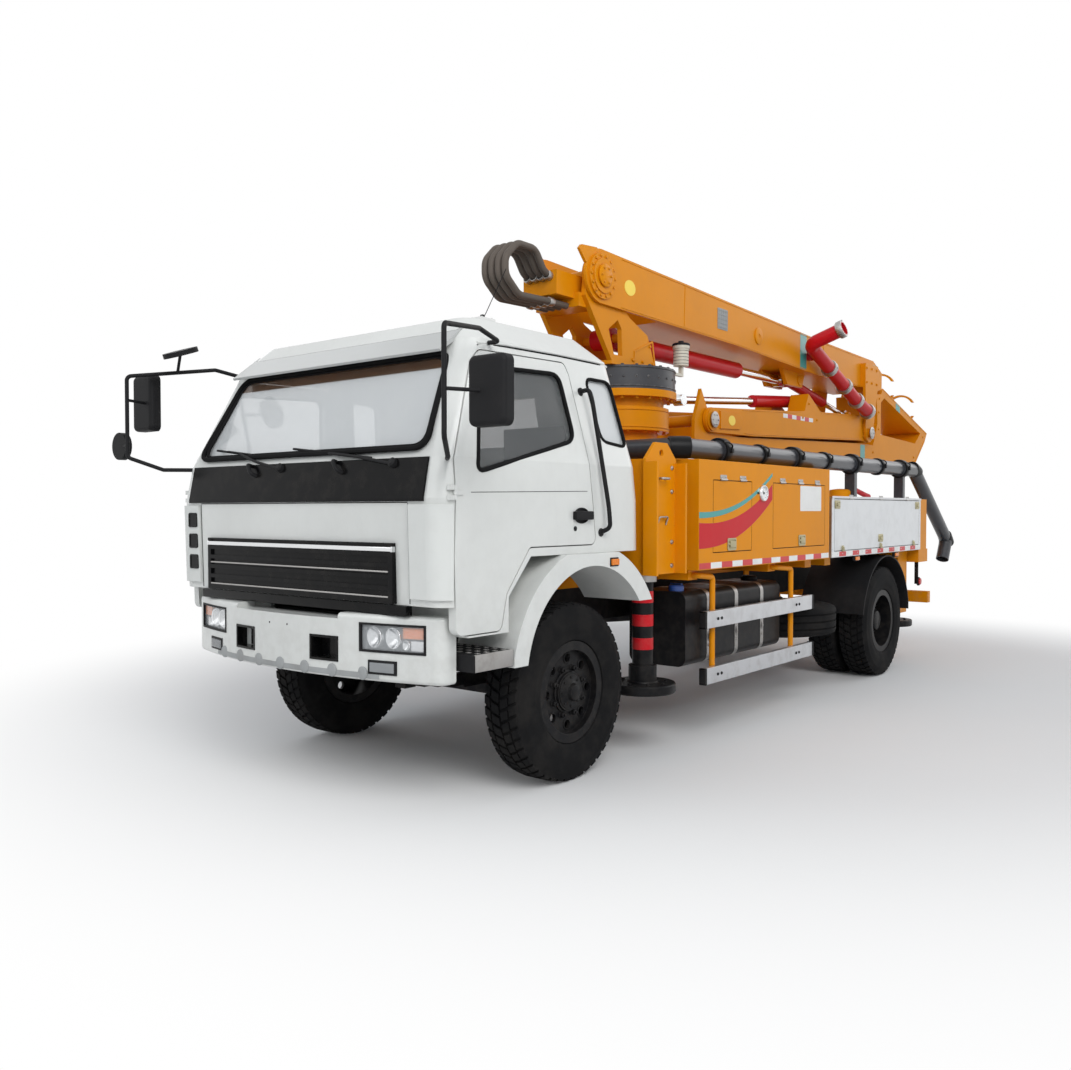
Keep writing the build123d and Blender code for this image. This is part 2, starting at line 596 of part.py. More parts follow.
def pump_subframe():
    """Long bearers on the rails, the outriggers' cross housing, the column's base and the jack sleeves."""
    solid = None
    for s in (-1, 1):
        bearer = box(SUB_REAR, SUB_FRONT, s * (RAIL_Y - RAIL_W), s * RAIL_Y, RAIL_TOP, SUB_TOP)
        solid = bearer if solid is None else solid + bearer
    for x in BEARERS:
        solid += box(x - 60, x + 60, -BEARER_END, BEARER_END, SUB_TOP - 70, SUB_TOP)
    half = BEAM_W / 2
    housing = box(LEG_X - half, LEG_X + half, -870, 870, BEAM_Z - BEAM_H / 2, BEAM_Z + BEAM_H / 2)
    bed = box(LEG_X - half, LEG_X + half, -RAIL_Y, RAIL_Y, RAIL_TOP, BEAM_Z - BEAM_H / 2)
    tube = box(LEG_X - half + BEAM_WALL, LEG_X + half - BEAM_WALL, -900, 900,
               BEAM_Z - BEAM_H / 2 + BEAM_WALL, BEAM_Z + BEAM_H / 2 - BEAM_WALL)
    base = box(SLEW_X - 440, SLEW_X + 440, -440, 440, RAIL_TOP, BASE_TOP)
    link = box(LEG_X - half, SLEW_X + 440, -300, 300, RAIL_TOP + 60, BEAM_Z + BEAM_H / 2)
    solid = solid + bed + link + base + housing - tube
    pad = MOVE_GAP - PIN_GAP
    for s in (-1, 1):
        for z0 in (BEAM_Z - BEAM_H / 2 + BEAM_WALL, BEAM_Z + BEAM_H / 2 - BEAM_WALL - pad):
            solid += box(LEG_X - 50, LEG_X + 50, s * 790, s * 870, z0, z0 + pad)
    for s in (-1, 1):
        sleeve = box(REAR_JACK_X - 130, REAR_JACK_X + 130, s * 840, s * 1080, 520, SUB_TOP)
        sleeve -= cyl_z(REAR_JACK_X, s * REAR_JACK_Y, JACK_R + MOVE_GAP, 600, 1140)
        sleeve -= cyl_z(REAR_JACK_X, s * REAR_JACK_Y, JACK_R + PIN_GAP, 500, 610)
        arm = box(REAR_JACK_X - 110, REAR_JACK_X + 110, s * RAIL_Y, s * 845, SUB_TOP - 130, SUB_TOP)
        solid += sleeve + arm
        solid += box(-5620, -5860, s * 900, s * 1180, SUB_TOP - 70, TOOL_TOP)
        solid += box(-5620, -5900, s * 300, s * 1180, SUB_TOP - 130, SUB_TOP)
    solid += box(-3370, -3290, RAIL_Y, 740, 800, 830) + box(-3370, -3290, RAIL_Y, 445, 800, SUB_TOP - 60)
    solid += cyl_z(-3330, 700, 25, 690, 815) + cyl_z(-3330, 700, 130, 688, 632 + TYRE_W / 2 - BEAD_IN - 28 - SEAT)
    return solid


def pedestal():
    stages = ((300, BASE_TOP, 2150), (390, 2150, 2330), (350, 2330, 2400), (450, 2400, RING_TOP))
    solid = None
    for r, z0, z1 in stages:
        stage = cyl_z(SLEW_X, 0, r, z0, z1)
        solid = stage if solid is None else solid + stage
    return solid


def side_box():
    solid = box(BOX_REAR, BOX_FRONT, BOX_IN, BODY_HALF, BOX_LOW, BOX_TOP)
    for x0, x1 in ((-1904, -1339), (-3200, -2242)):
        groove = box(x1, x0, BODY_HALF - 4, BODY_HALF + 1, 1257, 1746)
        groove -= box(x1 - 6, x0 + 6, BODY_HALF - 5, BODY_HALF + 2, 1263, 1740)
        solid -= groove
    return solid


def toolbox():
    solid = box(TOOL_REAR, TOOL_FRONT, BOX_IN, BODY_HALF, BOX_LOW, TOOL_TOP)
    groove = box(-5560, -3400, BODY_HALF - 4, BODY_HALF + 1, 1200, 1640)
    groove -= box(-5554, -3406, BODY_HALF - 5, BODY_HALF + 2, 1206, 1634)
    return solid - groove


def build_body():
    save("pump_subframe", pump_subframe())
    save("pedestal", pedestal())
    save("side_boxes", *both(side_box()))
    save("toolboxes", *both(toolbox()))
    build_outriggers()
    tank = box(-2620, -1190, 640, 1080, 500, 1000)
    tank = fillet(tank.edges().filter_by(Axis.X), 60)
    hang = box(-2300, -2240, RAIL_Y, 642, 800, 960) + box(-1560, -1500, RAIL_Y, 642, 800, 960)
    right = fillet(box(-2400, -1250, -1060, -640, 520, 980).edges().filter_by(Axis.X), 40)
    save("side_tanks", tank + hang, right + swap(hang))
    rails = []
    for z0, z1 in ((758, 869), (386, 493)):
        rails.append(box(-2992, -1275, 1150, 1190, z0, z1))
    save("side_guards", *both(rails[0]), *both(rails[1]))
    hoops = []
    for top, leg in HOOP_LEGS:
        hoops.append(hose([(top, BEARER_END + SEAT, 1112), (top, 1129.7, 1112), (leg, 1129.7, 1090), (leg, 1129.7, 386)], 20, 25))
    save("guard_hoops", *both(hoops[0]), *both(hoops[1]))
    flat = Pos(-3330, 700, 632) * Rot(90, 0, 0)
    save("spare_wheel", flat * tyre(), flat * rim_ring())


def build_boom():
    save("slew_drum", cyl_z(SLEW_X, 0, DRUM_R, RING_TOP + PIN_GAP, DRUM_TOP))
    inner = TURRET_HALF - TURRET_T
    outline = shape((-2180, DRUM_TOP), (-1580, DRUM_TOP), (-1230, 3080), (-1250, 3235), (-1390, 3235),
                    (-1560, 3180), (-1800, 3000), (-2050, 2900))
    outline += disc(ROOT_X, ROOT_Z, 150)
    outline -= shape((-1700, 2700), (-1590, 2700), (-1520, 2880), (-1640, 2960), (-1690, 2900))
    turret = box(-2260, -1560, -TURRET_HALF, TURRET_HALF, DRUM_TOP, DRUM_TOP + 30)
    for s in (-1, 1):
        turret += side_plate(outline, s * inner if s > 0 else -TURRET_HALF, TURRET_HALF if s > 0 else -inner)
    turret += cyl_y(ROOT_X, ROOT_Z, ROOT_PIN_R, -BOOM_HALF - 30, BOOM_HALF + 30)
    turret += cyl_y(LUFF_X, LUFF_Z, LUFF_PIN_R, -inner - 5, inner + 5)
    turret += box(-1390, -1000, -150, 150, 3060, 3230) + box(-1400, -1200, -inner - 5, inner + 5, 3000, 3100)
    save("turret", turret)
    save("boom_1", boom_1())
    save("luff_barrel", luff_barrel())
    rod_solid = rod((-3700, 0, luff_line(-3700)), (LUFF_EYE_X + 40, 0, luff_line(LUFF_EYE_X + 40)), 42)
    rod_solid += cyl_y(LUFF_EYE_X, LUFF_EYE_Z, 62, -55, 55)
    save("luff_rod", rod_solid)
    save("arm_2", arm_2())
    save("arm_3", arm_3())
    save("arm_2_barrel", arm_2_barrel())
    save("arm_2_rod", arm_2_rod())
    save("arm_3_barrel", arm_3_barrel())
    save("arm_3_rod", arm_3_rod())
    save("boom_pipes", boom_pipes())
    save("hose_bundle", *[hose_loop(y) for y in HOSE_YS])
    save("grease_pot", grease_pot())


def boom_pipes():
    """The delivery pipe at boom 1's tip, down to arm 2's pivot, with its open elbow."""
    pipe = hose([(-4800, 720, 3300), (-4800, 370, 3180), (-6040, 370, 2735), (-6400, 370, 2640)], PIPE_R, 90, PIPE_WALL)
    clamp = box(-5060, -4980, BOOM_HALF + SEAT, 310, 3060, 3130)
    return pipe + clamp


def hose_loop(y):
    """One of the hoses that loop forward from the turret's nose."""
    return hose([(-990, y, 3190), (-925, y, 3219), (-835, y, 3345), (-640, y, 3345), (-520, y, 3230), (-520, y, 3110),
                 (-660, y, 3000), (-960, y, 3010), (-1190, y, 3010)], 24, 100)


def grease_pot():
    stem = box(-2560, -2260 - SEAT, 225, 255, DRUM_TOP + 4, DRUM_TOP + 26) + box(-2560, -2530, 225, 255, DRUM_TOP + 4, 2720)
    return stem + cyl_z(-2545, 240, 62, 2720, 2860) + cyl_z(-2545, 240, 70, 2860, 2885)


def luff_line(x):
    """Height of the luff cylinder's axis at x."""
    return LUFF_Z + (LUFF_EYE_Z - LUFF_Z) * (x - LUFF_X) / (LUFF_EYE_X - LUFF_X)


def luff_barrel():
    tube = rod((LUFF_X - 50, 0, luff_line(LUFF_X - 50)), (-3960, 0, luff_line(-3960)), LUFF_R)
    tube -= rod((-3600, 0, luff_line(-3600)), (-4000, 0, luff_line(-4000)), 42 + PIN_GAP)
    tube += cyl_y(LUFF_X, LUFF_Z, 80, -90, 90)
    return tube - cyl_y(LUFF_X, LUFF_Z, LUFF_PIN_R + PIN_GAP, -100, 100)


def boom_1():
    outline = shape((-1390, ROOT_Z + ROOT_R), (-2550, 3395), (-5400, 3300), (-6850, 3270), (-7130, 3160),
                    (-7130, 2970), (-6950, 2930), (-5230, 2940), (-3500, 3010), (-1390, 3040))
    outline += disc(ROOT_X, ROOT_Z, ROOT_R)
    outline += shape((-1200, 3300), (-1120, 3385), (-1150, 3415), (-1330, 3430), (-1390, 3400))
    solid = side_plate(outline, -BOOM_HALF, BOOM_HALF)
    hollow = shape((-2420, 3370), (-5400, 3272), (-6420, 3248), (-6420, 2968), (-5230, 2968), (-3500, 3036), (-2420, 3060))
    solid -= side_plate(hollow, -BOOM_HALF + 14, BOOM_HALF - 14)
    solid -= box(-2200, -1000, -BOOM_HALF + CHEEK_T, BOOM_HALF - CHEEK_T, 2900, 3600)
    bracket = shape((-4700, 2960), (-4820, 2810), (-5170, 2810), (-5230, 2945))
    for s in (-1, 1):
        low, high = sorted((s * 90, s * 130))
        solid += side_plate(bracket, low, high)
        low, high = sorted((s * (ARM2_HALF + MOVE_GAP), s * (ARM2_HALF + MOVE_GAP + 30)))
        cheek = shape((-6460, 2960), (-6850, 2960), (-6700, 2420), (-6480, 2420)) + disc(P2_X, P2_Z, P2_R)
        solid += side_plate(cheek, low, high)
        low, high = sorted((s * (BOOM_HALF - 20), s * (ARM2_HALF + MOVE_GAP + 30)))
        solid += box(-6850, -6460, low, high, 2935, 3200)
        low, high = sorted((s * 60, s * 91))
        solid += cyl_y(LUFF_EYE_X, LUFF_EYE_Z, 45, low, high)
    solid += cyl_y(TILT2_X, TILT2_Z, 30, -91, 91)
    for s in (-1, 1):
        low, high = sorted((s * BOOM_HALF, s * (BOOM_HALF + 16)))
        solid += cyl_y(ROOT_X, ROOT_Z, ROOT_R - 30, low, high)
        low, high = sorted((s * (BOOM_HALF + 15), s * (BOOM_HALF + 26)))
        solid += cyl_y(ROOT_X, ROOT_Z, ROOT_R - 70, low, high)
    solid -= cyl_y(ROOT_X, ROOT_Z, ROOT_PIN_R + PIN_GAP, -400, 400)
    solid -= cyl_y(P2_X, P2_Z, ARM_PIN_R + PIN_GAP, -400, 400)
    return solid


def arm_2():
    outline = shape((-6590, 2540), (-6360, 2610), (-5300, 2560), (-4990, 2720), (-4900, 2540), (-4700, 2520),
                    (-3020, 2420), (-2990, 2210), (-3780, 2220), (-6440, 2330), (-6590, 2320))
    outline += disc(P3_X, P3_Z, P3_R)
    outline += disc(P2_X, P2_Z, P2_R)
    solid = side_plate(outline, -ARM2_HALF, ARM2_HALF)
    solid -= box(-3620, -2800, -ARM3_HALF - MOVE_GAP, ARM3_HALF + MOVE_GAP, 2100, 2600)
    for y in (-250, 102):
        solid -= box(-6350, -3680, y, y + 148, 2340, 2410)
    strap = shape((-3130, 2400), (-3480, 2400), (-3560, 2330), (-3480, 2262), (-3130, 2248)) + disc(P3_X, P3_Z, 92)
    for s in (-1, 1):
        low, high = sorted((s * ARM2_HALF, s * (ARM2_HALF + 14)))
        solid += side_plate(strap, low, high)
    solid -= box(-5500, -3600, -90, 90, 2420, 2800)
    solid -= box(-4300, -3600, -60, 60, 2290, 2500)
    solid -= box(-6660, -6470, -58, 58, 2520, 2720)
    solid -= cyl_y(TRUNNION_X, TRUNNION_Z, TRUNNION_R + PIN_GAP, -151, 151)
    lever = shape((-6640, 2440), (-6480, 2440), (-6520, 2670), (-6600, 2670))
    for s in (-1, 1):
        low, high = sorted((s * 62, s * 95))
        solid += side_plate(lever, low, high)
    solid += cyl_y(P3_X, P3_Z, ARM_PIN_R, -ARM2_HALF - 26, ARM2_HALF + 26)
    solid += cyl_y(P2_X, P2_Z, ARM_PIN_R, -ARM2_HALF - 60, ARM2_HALF + 60)
    return solid


def arm_3():
    body = shape((-3500, 2210 - ARM_GAP), (-6540, P2_Z - P2_R - ARM_GAP), (-6900, 2300), (-7040, 2560),
                 (-7010, 2900), (-7160, 2920), (-7210, 2990), (TIP_X, 2560), (-8780, 2440), (-8410, 2140),
                 (-6760, 2120), (-3500, 2120))
    body -= shape((-7150, 2440), (-7150, 2820), (-7260, 2880), (-8600, 2540), (-8400, 2400))
    solid = side_plate(body, -ARM3_HALF, ARM3_HALF)
    front = shape((-2870, 2570), (-2760, 2300), (-2760, 2120), (-3600, 2120), (-3600, 2200), (-3110, 2210))
    front += disc(P3_X, P3_Z, 100)
    for s in (-1, 1):
        low, high = sorted((s * (ARM3_HALF - 30), s * ARM3_HALF))
        solid += side_plate(front, low, high)
    for x in HOOP_XS:
        z = 2990 + (2560 - 2990) / (-TIP_X - 7210) * (-x - 7210)
        ring = Pos(60, z + HOOP_R - 30) * (Circle(HOOP_R) - Circle(HOOP_R - 24))
        ring -= Pos(60 + HOOP_R, z + HOOP_R - 30) * Rectangle(HOOP_R, 0.9 * HOOP_R)
        solid += extrude(Plane.YZ.offset(x) * ring, amount=40, dir=(1, 0, 0))
    return solid - cyl_y(P3_X, P3_Z, ARM_PIN_R + PIN_GAP, -300, 300)


def arm_2_barrel():
    a = Vector(TILT2_X, 0, TILT2_Z)
    b = Vector(LEVER2_X, 0, LEVER2_Z)
    end = a + (b - a) * 0.62
    tube = rod(tuple(a), tuple(end), TILT2_R) + cyl_y(TILT2_X, TILT2_Z, 60, -80, 80)
    tube -= rod(tuple(a + (b - a) * 0.3), tuple(end + (b - a) * 0.1), 30 + PIN_GAP)
    return tube - cyl_y(TILT2_X, TILT2_Z, 30 + PIN_GAP, -90, 90)


def arm_2_rod():
    a = Vector(TILT2_X, 0, TILT2_Z)
    b = Vector(LEVER2_X, 0, LEVER2_Z)
    return rod(tuple(a + (b - a) * 0.42), tuple(b), 30) + cyl_y(LEVER2_X, LEVER2_Z, 45, -50, 50)


def tilt3_line(x):
    """Height of arm 3's cylinder at x."""
    return TRUNNION_Z - TILT3_SLOPE * (x - TRUNNION_X)


def arm_3_barrel():
    tube = rod((TILT3_REAR, 0, tilt3_line(TILT3_REAR)), (TILT3_FRONT, 0, tilt3_line(TILT3_FRONT)), 60)
    tube += cyl_y(TRUNNION_X, TRUNNION_Z, TRUNNION_R, -150, 150)
    return tube - rod((-5000, 0, tilt3_line(-5000)), (-4200, 0, tilt3_line(-4200)), 35 + PIN_GAP)


def arm_3_rod():
    return rod((-4700, 0, tilt3_line(-4700)), (EYE3_X, 0, tilt3_line(EYE3_X)), 35) + \
        cyl_y(EYE3_X, tilt3_line(EYE3_X), 50, -45, 45)


def delivery_pipe():
    line = [(SLEW_X + 440 + SEAT, 200, 1850), (-1150, 200, 1850), (-1150, 480, PIPE_Z), (-1150, PIPE_Y, PIPE_Z),
            (-5850, PIPE_Y, PIPE_Z), (-6980, PIPE_Y, 1215), (-6850, PIPE_Y, 1000)]
    solid = hose(line, PIPE_R, 70, PIPE_WALL)
    for x, foot in COUPLINGS:
        solid += cyl_x(x - 35, x + 35, PIPE_Y, PIPE_Z, PIPE_R + COLLAR) - cyl_x(x - 40, x + 40, PIPE_Y, PIPE_Z, PIPE_R - 2)
        solid += box(x - 30, x + 30, PIPE_Y - 45, PIPE_Y + 45, foot + SEAT, PIPE_Z - PIPE_R + 4)
    return solid


def pump_cylinders():
    solid = box(-4450, -4150, -250, 250, SUB_TOP + 40, 1440)
    for y in (-130, 130):
        solid += rod((-2700, y, 1290), (-5950, y, 1290), 95)
    for x in (-3100, -3500, -5200, -5950):
        solid += box(x - 40, x + 40, -230, 230, SUB_TOP + SEAT, 1230)
    return solid


def grate_bars(x0, x1, half, low):
    """Flat bars in a frame, lying over a part of the hopper's mouth."""
    frame = box(x0, x1, -half, half, low, HOPPER_TOP + 40)
    frame -= box(x0 + 40, x1 - 40, -half + 30, half - 30, low - 1, HOPPER_TOP + 60)
    for i in range(13):
        y = -492 + 82 * i
        frame += box(x0 + 30, x1 - 30, y - 7, y + 7, HOPPER_TOP + 5, HOPPER_TOP + 35)
    return frame


def hopper_grate():
    """The rear leaf of the grate, which swings up."""
    leaf = grate_bars(-7045, -6626, 580, HOPPER_TOP + SEAT)
    for s in (-1, 1):
        low, high = sorted((s * 545, s * 580))
        leaf += cyl_y(GRATE_X, GRATE_Z, 16, low, high)
        leaf += box(-6640, GRATE_X, low, high, GRATE_Z - 12, GRATE_Z + 12)
        leaf -= cyl_y(GRATE_X, GRATE_Z, 8 + PIN_GAP, low - 1, high + 1)
    return leaf


def rear_bumper():
    bar = box(-6330, -6250, -1080, 1080, 560, 680)
    for s in (-1, 1):
        bar += box(-6330, -6120 - SEAT, s * 360, s * 420, 600, 900)
        bar += box(-6345, -6325, s * 780, s * 1050, 570, 670)
    return bar


def hopper():
    outer = []
    inner = []
    for z, x, length, width in ((HOPPER_LOW, -6560, 520, 800), (HOPPER_TOP, -6600, 900, 1300)):
        outer.append((Pos(x, 0, z) * Rectangle(length, width)).face())
        lift = HOPPER_WALL if z == HOPPER_LOW else HOPPER_WALL / 10
        inner.append((Pos(x, 0, z + lift) * Rectangle(length - 2 * HOPPER_WALL, width - 2 * HOPPER_WALL)).face())
    solid = loft(outer, ruled=True)
    solid += rod((-6300, -250, 1000), (-6300, 250, 1000), 60) + cyl_x(-6900, -6300, 0, 990, 70)
    for s in (-1, 1):
        low, high = sorted((s * 470, s * 640))
        solid += cyl_y(-6560, 1060, 95, low, high)
        solid += box(-6330, -6120 - SEAT, s * 300, s * 360, 1030, 1140)
    solid -= loft(inner, ruled=True)
    solid += grate_bars(-6568, -6155, 645, HOPPER_TOP)
    for s in (-1, 1):
        solid += box(GRATE_X - 16, -6550, s * 600, s * 614, HOPPER_TOP + 4, GRATE_Z + 16)
        low, high = sorted((s * 545, s * 614))
        solid += cyl_y(GRATE_X, GRATE_Z, 8, low, high)
    return solid


def main():
    os.makedirs("parts", exist_ok=True)
    build_wheels()
    build_chassis()
    build_cab()
    build_front()
    build_body()
    build_boom()
    build_mirrors()
    save("delivery_pipe", delivery_pipe())
    save("hopper", hopper())
    save("hopper_grate", hopper_grate())
    save("pump_cylinders", pump_cylinders())
    save("rear_bumper", rear_bumper())


main()
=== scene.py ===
"""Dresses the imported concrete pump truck, with its finishes, fittings and a plain studio."""

import json
import math

import bmesh
import bpy
from bpy.props import FloatProperty, FloatVectorProperty, IntProperty, PointerProperty
from bpy.types import Operator, Panel, PropertyGroup
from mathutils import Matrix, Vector

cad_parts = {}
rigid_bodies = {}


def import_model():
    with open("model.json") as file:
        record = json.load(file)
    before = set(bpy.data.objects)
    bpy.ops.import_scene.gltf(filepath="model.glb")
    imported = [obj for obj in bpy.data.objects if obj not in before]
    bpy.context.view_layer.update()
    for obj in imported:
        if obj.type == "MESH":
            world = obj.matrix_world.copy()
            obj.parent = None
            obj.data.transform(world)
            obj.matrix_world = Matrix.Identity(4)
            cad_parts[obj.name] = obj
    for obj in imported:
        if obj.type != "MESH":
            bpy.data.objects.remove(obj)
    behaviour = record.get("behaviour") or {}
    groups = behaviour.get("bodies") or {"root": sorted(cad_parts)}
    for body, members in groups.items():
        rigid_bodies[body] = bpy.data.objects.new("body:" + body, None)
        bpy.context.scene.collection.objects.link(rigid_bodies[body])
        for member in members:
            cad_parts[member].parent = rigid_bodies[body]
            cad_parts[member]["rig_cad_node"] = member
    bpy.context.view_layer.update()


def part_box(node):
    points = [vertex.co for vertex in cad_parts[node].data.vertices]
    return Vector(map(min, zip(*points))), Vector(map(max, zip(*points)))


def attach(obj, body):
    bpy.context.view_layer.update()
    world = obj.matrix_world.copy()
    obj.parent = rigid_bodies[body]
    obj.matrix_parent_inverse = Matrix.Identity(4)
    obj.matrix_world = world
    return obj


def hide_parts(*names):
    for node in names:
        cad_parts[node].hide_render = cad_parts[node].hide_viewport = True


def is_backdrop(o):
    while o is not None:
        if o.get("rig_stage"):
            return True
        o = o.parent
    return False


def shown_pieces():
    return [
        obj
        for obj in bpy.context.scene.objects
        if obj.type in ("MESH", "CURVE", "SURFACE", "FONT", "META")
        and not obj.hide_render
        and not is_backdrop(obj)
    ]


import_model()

bl_info = {
    "name": "Concrete Pump Truck",
    "version": (1, 0, 0),
    "blender": (4, 5, 0),
    "location": "3D View > Sidebar > Pump Truck",
    "description": "Finishes, fittings and a studio for a truck with a folding placing boom",
    "category": "Object",
}

# Places and sizes of the pieces are in millimetres from the front axle's middle, on the ground.
MM = 0.001
AXLE = sum(corner[0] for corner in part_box("front_rim_left")) / 2
HUB, REAR_X = 509, -4700
HANDLE_Z = 1512 * MM
ALONG, ACROSS, UP = (1, 0, 0), (0, 1, 0), (0, 0, 1)
SIDES = (("left", 1), ("right", -1))

BACKDROP = (1.0, 1.0, 1.0, 1.0)
DUST = (0.22, 0.19, 0.155)


def at(x, y, z):
    """A place given in millimetres from the front axle's middle, on the ground."""
    return Vector((AXLE + x * MM, y * MM, z * MM))


# Shader maths
class Field:
    """A socket's value that takes part in Python expressions."""

    def __init__(self, finish, socket):
        self.finish = finish
        self.socket = socket

    def maths(self, operation, *values):
        inputs = dict(enumerate((self, *values)))
        return self.finish.node("ShaderNodeMath", {"operation": operation}, inputs)

    def __add__(self, other):
        return self.maths("ADD", other)

    def __sub__(self, other):
        return self.maths("SUBTRACT", other)

    def __mul__(self, other):
        return self.maths("MULTIPLY", other)

    def __rsub__(self, other):
        return self.finish.node("ShaderNodeMath", {"operation": "SUBTRACT"}, {0: other, 1: self})

    __radd__ = __add__
    __rmul__ = __mul__

    def between(self, low, high):
        """0 below low, 1 above high, and smooth in between."""
        return self.finish.node("ShaderNodeMapRange", {"interpolation_type": "SMOOTHSTEP"},
                                {"Value": self, "From Min": low, "From Max": high})

    def most(self, other):
        return self.maths("MAXIMUM", other)


class Finish:
    """One material, built from nodes."""

    def __init__(self, name):
        self.material = bpy.data.materials.new(name)
        self.material.use_nodes = True
        self.tree = self.material.node_tree
        self.shader = self.tree.nodes["Principled BSDF"]

    def node(self, kind, settings=None, inputs=None, output=0):
        made = self.tree.nodes.new(kind)
        for key, value in (settings or {}).items():
            setattr(made, key, value)
        for key, value in (inputs or {}).items():
            self.feed(made.inputs[key], value)
        return Field(self, made.outputs[output])

    def feed(self, socket, value):
        if isinstance(value, Field):
            self.tree.links.new(value.socket, socket)
        else:
            socket.default_value = value

    def place(self, scale=(1, 1, 1)):
        """Where a point lies on the object, in metres."""
        spot = self.node("ShaderNodeTexCoord", output="Object")
        return self.node("ShaderNodeVectorMath", {"operation": "MULTIPLY"}, {0: spot, 1: scale})

    def along(self, axis):
        """How far a point lies along one of the object's axes, in metres."""
        spot = self.node("ShaderNodeTexCoord", output="Object")
        return self.node("ShaderNodeSeparateXYZ", inputs={0: spot}, output=axis)

    def height(self):
        return self.along("Z")

    def noise(self, scale, detail=4.0, stretch=(1, 1, 1), rough=0.6):
        return self.node("ShaderNodeTexNoise", inputs={
            "Vector": self.place(stretch), "Scale": scale, "Detail": detail, "Roughness": rough})

    def blend(self, factor, first, second):
        """Mixes two colours."""
        made = self.tree.nodes.new("ShaderNodeMix")
        made.data_type = "RGBA"
        self.feed(made.inputs[0], factor)
        for socket, value in ((made.inputs[6], first), (made.inputs[7], second)):
            self.feed(socket, value if isinstance(value, Field) else (*value, 1.0))
        return Field(self, made.outputs[2])

    def rounded(self, radius):
        return self.node("ShaderNodeBevel", {"samples": 4}, {"Radius": radius})

    def edges(self, radius=0.004):
        """1 along the edges and 0 on the flat."""
        soft = self.rounded(radius)
        true = self.node("ShaderNodeNewGeometry", output="True Normal")
        dot = self.node("ShaderNodeVectorMath", {"operation": "DOT_PRODUCT"}, {0: soft, 1: true},
                        "Value")
        return (1.0 - dot).between(0.02, 0.2)

    def bump(self, height, strength, distance, radius=0.0):
        inputs = {"Height": height, "Strength": strength, "Distance": distance}
        if radius:
            inputs["Normal"] = self.rounded(radius)
        return self.node("ShaderNodeBump", inputs=inputs)

    def surface(self, **sockets):
        for key, value in sockets.items():
            self.feed(self.shader.inputs[key.replace("_", " ")], value)
        return self.material


FINISHES = {}


def paint(name, colour, roughness, coat, dust, wear, edge=(0.5, 0.48, 0.45), shine=0.5):
    """Sprayed paint with orange peel, road dust that gathers low down, stains and rubbed edges."""
    f = Finish(name)
    cloud = f.noise(1.3, 5.0)
    fine = f.noise(14.0, 6.0)
    streak = f.noise(5.0, 5.0, (3.0, 3.0, 0.35))
    tone = f.blend(cloud.between(0.35, 0.7) * 0.35, colour, [c * 0.78 for c in colour])
    low = 1.0 - f.height().between(0.35, 1.5)
    soil = ((low * 0.75 + 0.14) * fine.between(0.38, 0.66) + streak.between(0.55, 0.8) * 0.22) * dust
    tone = f.blend(soil, tone, DUST)
    rubbed = f.edges(0.005) * f.noise(22.0, 4.0).between(0.42, 0.62) * wear
    tone = f.blend(rubbed, tone, edge)
    chips = f.noise(55.0, 3.0).between(0.70, 0.73) * f.noise(3.0, 2.0).between(0.5, 0.62) * wear
    tone = f.blend(chips, tone, (0.10, 0.055, 0.035))
    FINISHES[name] = f.surface(
        Base_Color=tone, Roughness=soil * 0.45 + rubbed * 0.2 + roughness,
        Specular_IOR_Level=shine, Coat_Weight=coat, Coat_Roughness=0.12,
        Normal=f.bump(f.noise(260.0, 2.0), 0.04, 0.001, 0.004))


def bare_metal(name, colour, roughness, brush, grime):
    """Metal with drawn marks, smears and grime in its low places."""
    f = Finish(name)
    marks = f.noise(90.0, 6.0, brush)
    smear = f.noise(3.5, 5.0)
    low = 1.0 - f.height().between(0.3, 1.4)
    soil = (low * 0.5 + 0.2) * f.noise(9.0, 5.0).between(0.42, 0.7) * grime
    tone = f.blend(marks * 0.35, colour, [c * 0.8 for c in colour])
    tone = f.blend(soil, tone, (0.17, 0.15, 0.125))
    FINISHES[name] = f.surface(
        Base_Color=tone, Metallic=1.0,
        Roughness=smear.between(0.3, 0.75) * 0.16 + marks * 0.1 + soil * 0.3 + roughness - 0.08,
        Normal=f.bump(marks, 0.05, 0.001, 0.003))


def moulded(name, colour, roughness, grain, dust, shine=0.5):
    """Moulded plastic or rubber with a fine grain and dust."""
    f = Finish(name)
    fine = f.noise(grain, 3.0)
    patch = f.noise(6.0, 5.0)
    low = 1.0 - f.height().between(0.3, 1.6)
    soil = (low * 0.6 + 0.2) * patch.between(0.4, 0.68) * dust
    tone = f.blend(soil, f.blend(fine * 0.3, colour, [c * 1.5 for c in colour]), (0.13, 0.115, 0.10))
    FINISHES[name] = f.surface(
        Base_Color=tone, Roughness=soil * 0.3 + fine * 0.1 + roughness, Specular_IOR_Level=shine,
        Normal=f.bump(fine, 0.15, 0.001, 0.002))


def clear(name, colour, alpha, roughness=0.04, band=None):
    """Glass or a clear lens, with a thin film of dust and perhaps a tinted band along its top."""
    f = Finish(name)
    film = f.noise(4.0, 5.0).between(0.35, 0.8) * 0.12
    tone = f.blend(film, colour, (0.55, 0.53, 0.5))
    if band:
        strip = f.height().between(2.262, 2.268) * f.along("X").between(AXLE + 0.5, AXLE + 0.52)
        tone = f.blend(strip, tone, band)
    FINISHES[name] = f.surface(
        Base_Color=tone, Roughness=film * 0.25 + roughness,
        Alpha=film * 0.3 + alpha, Coat_Weight=1.0, Coat_Roughness=0.02)


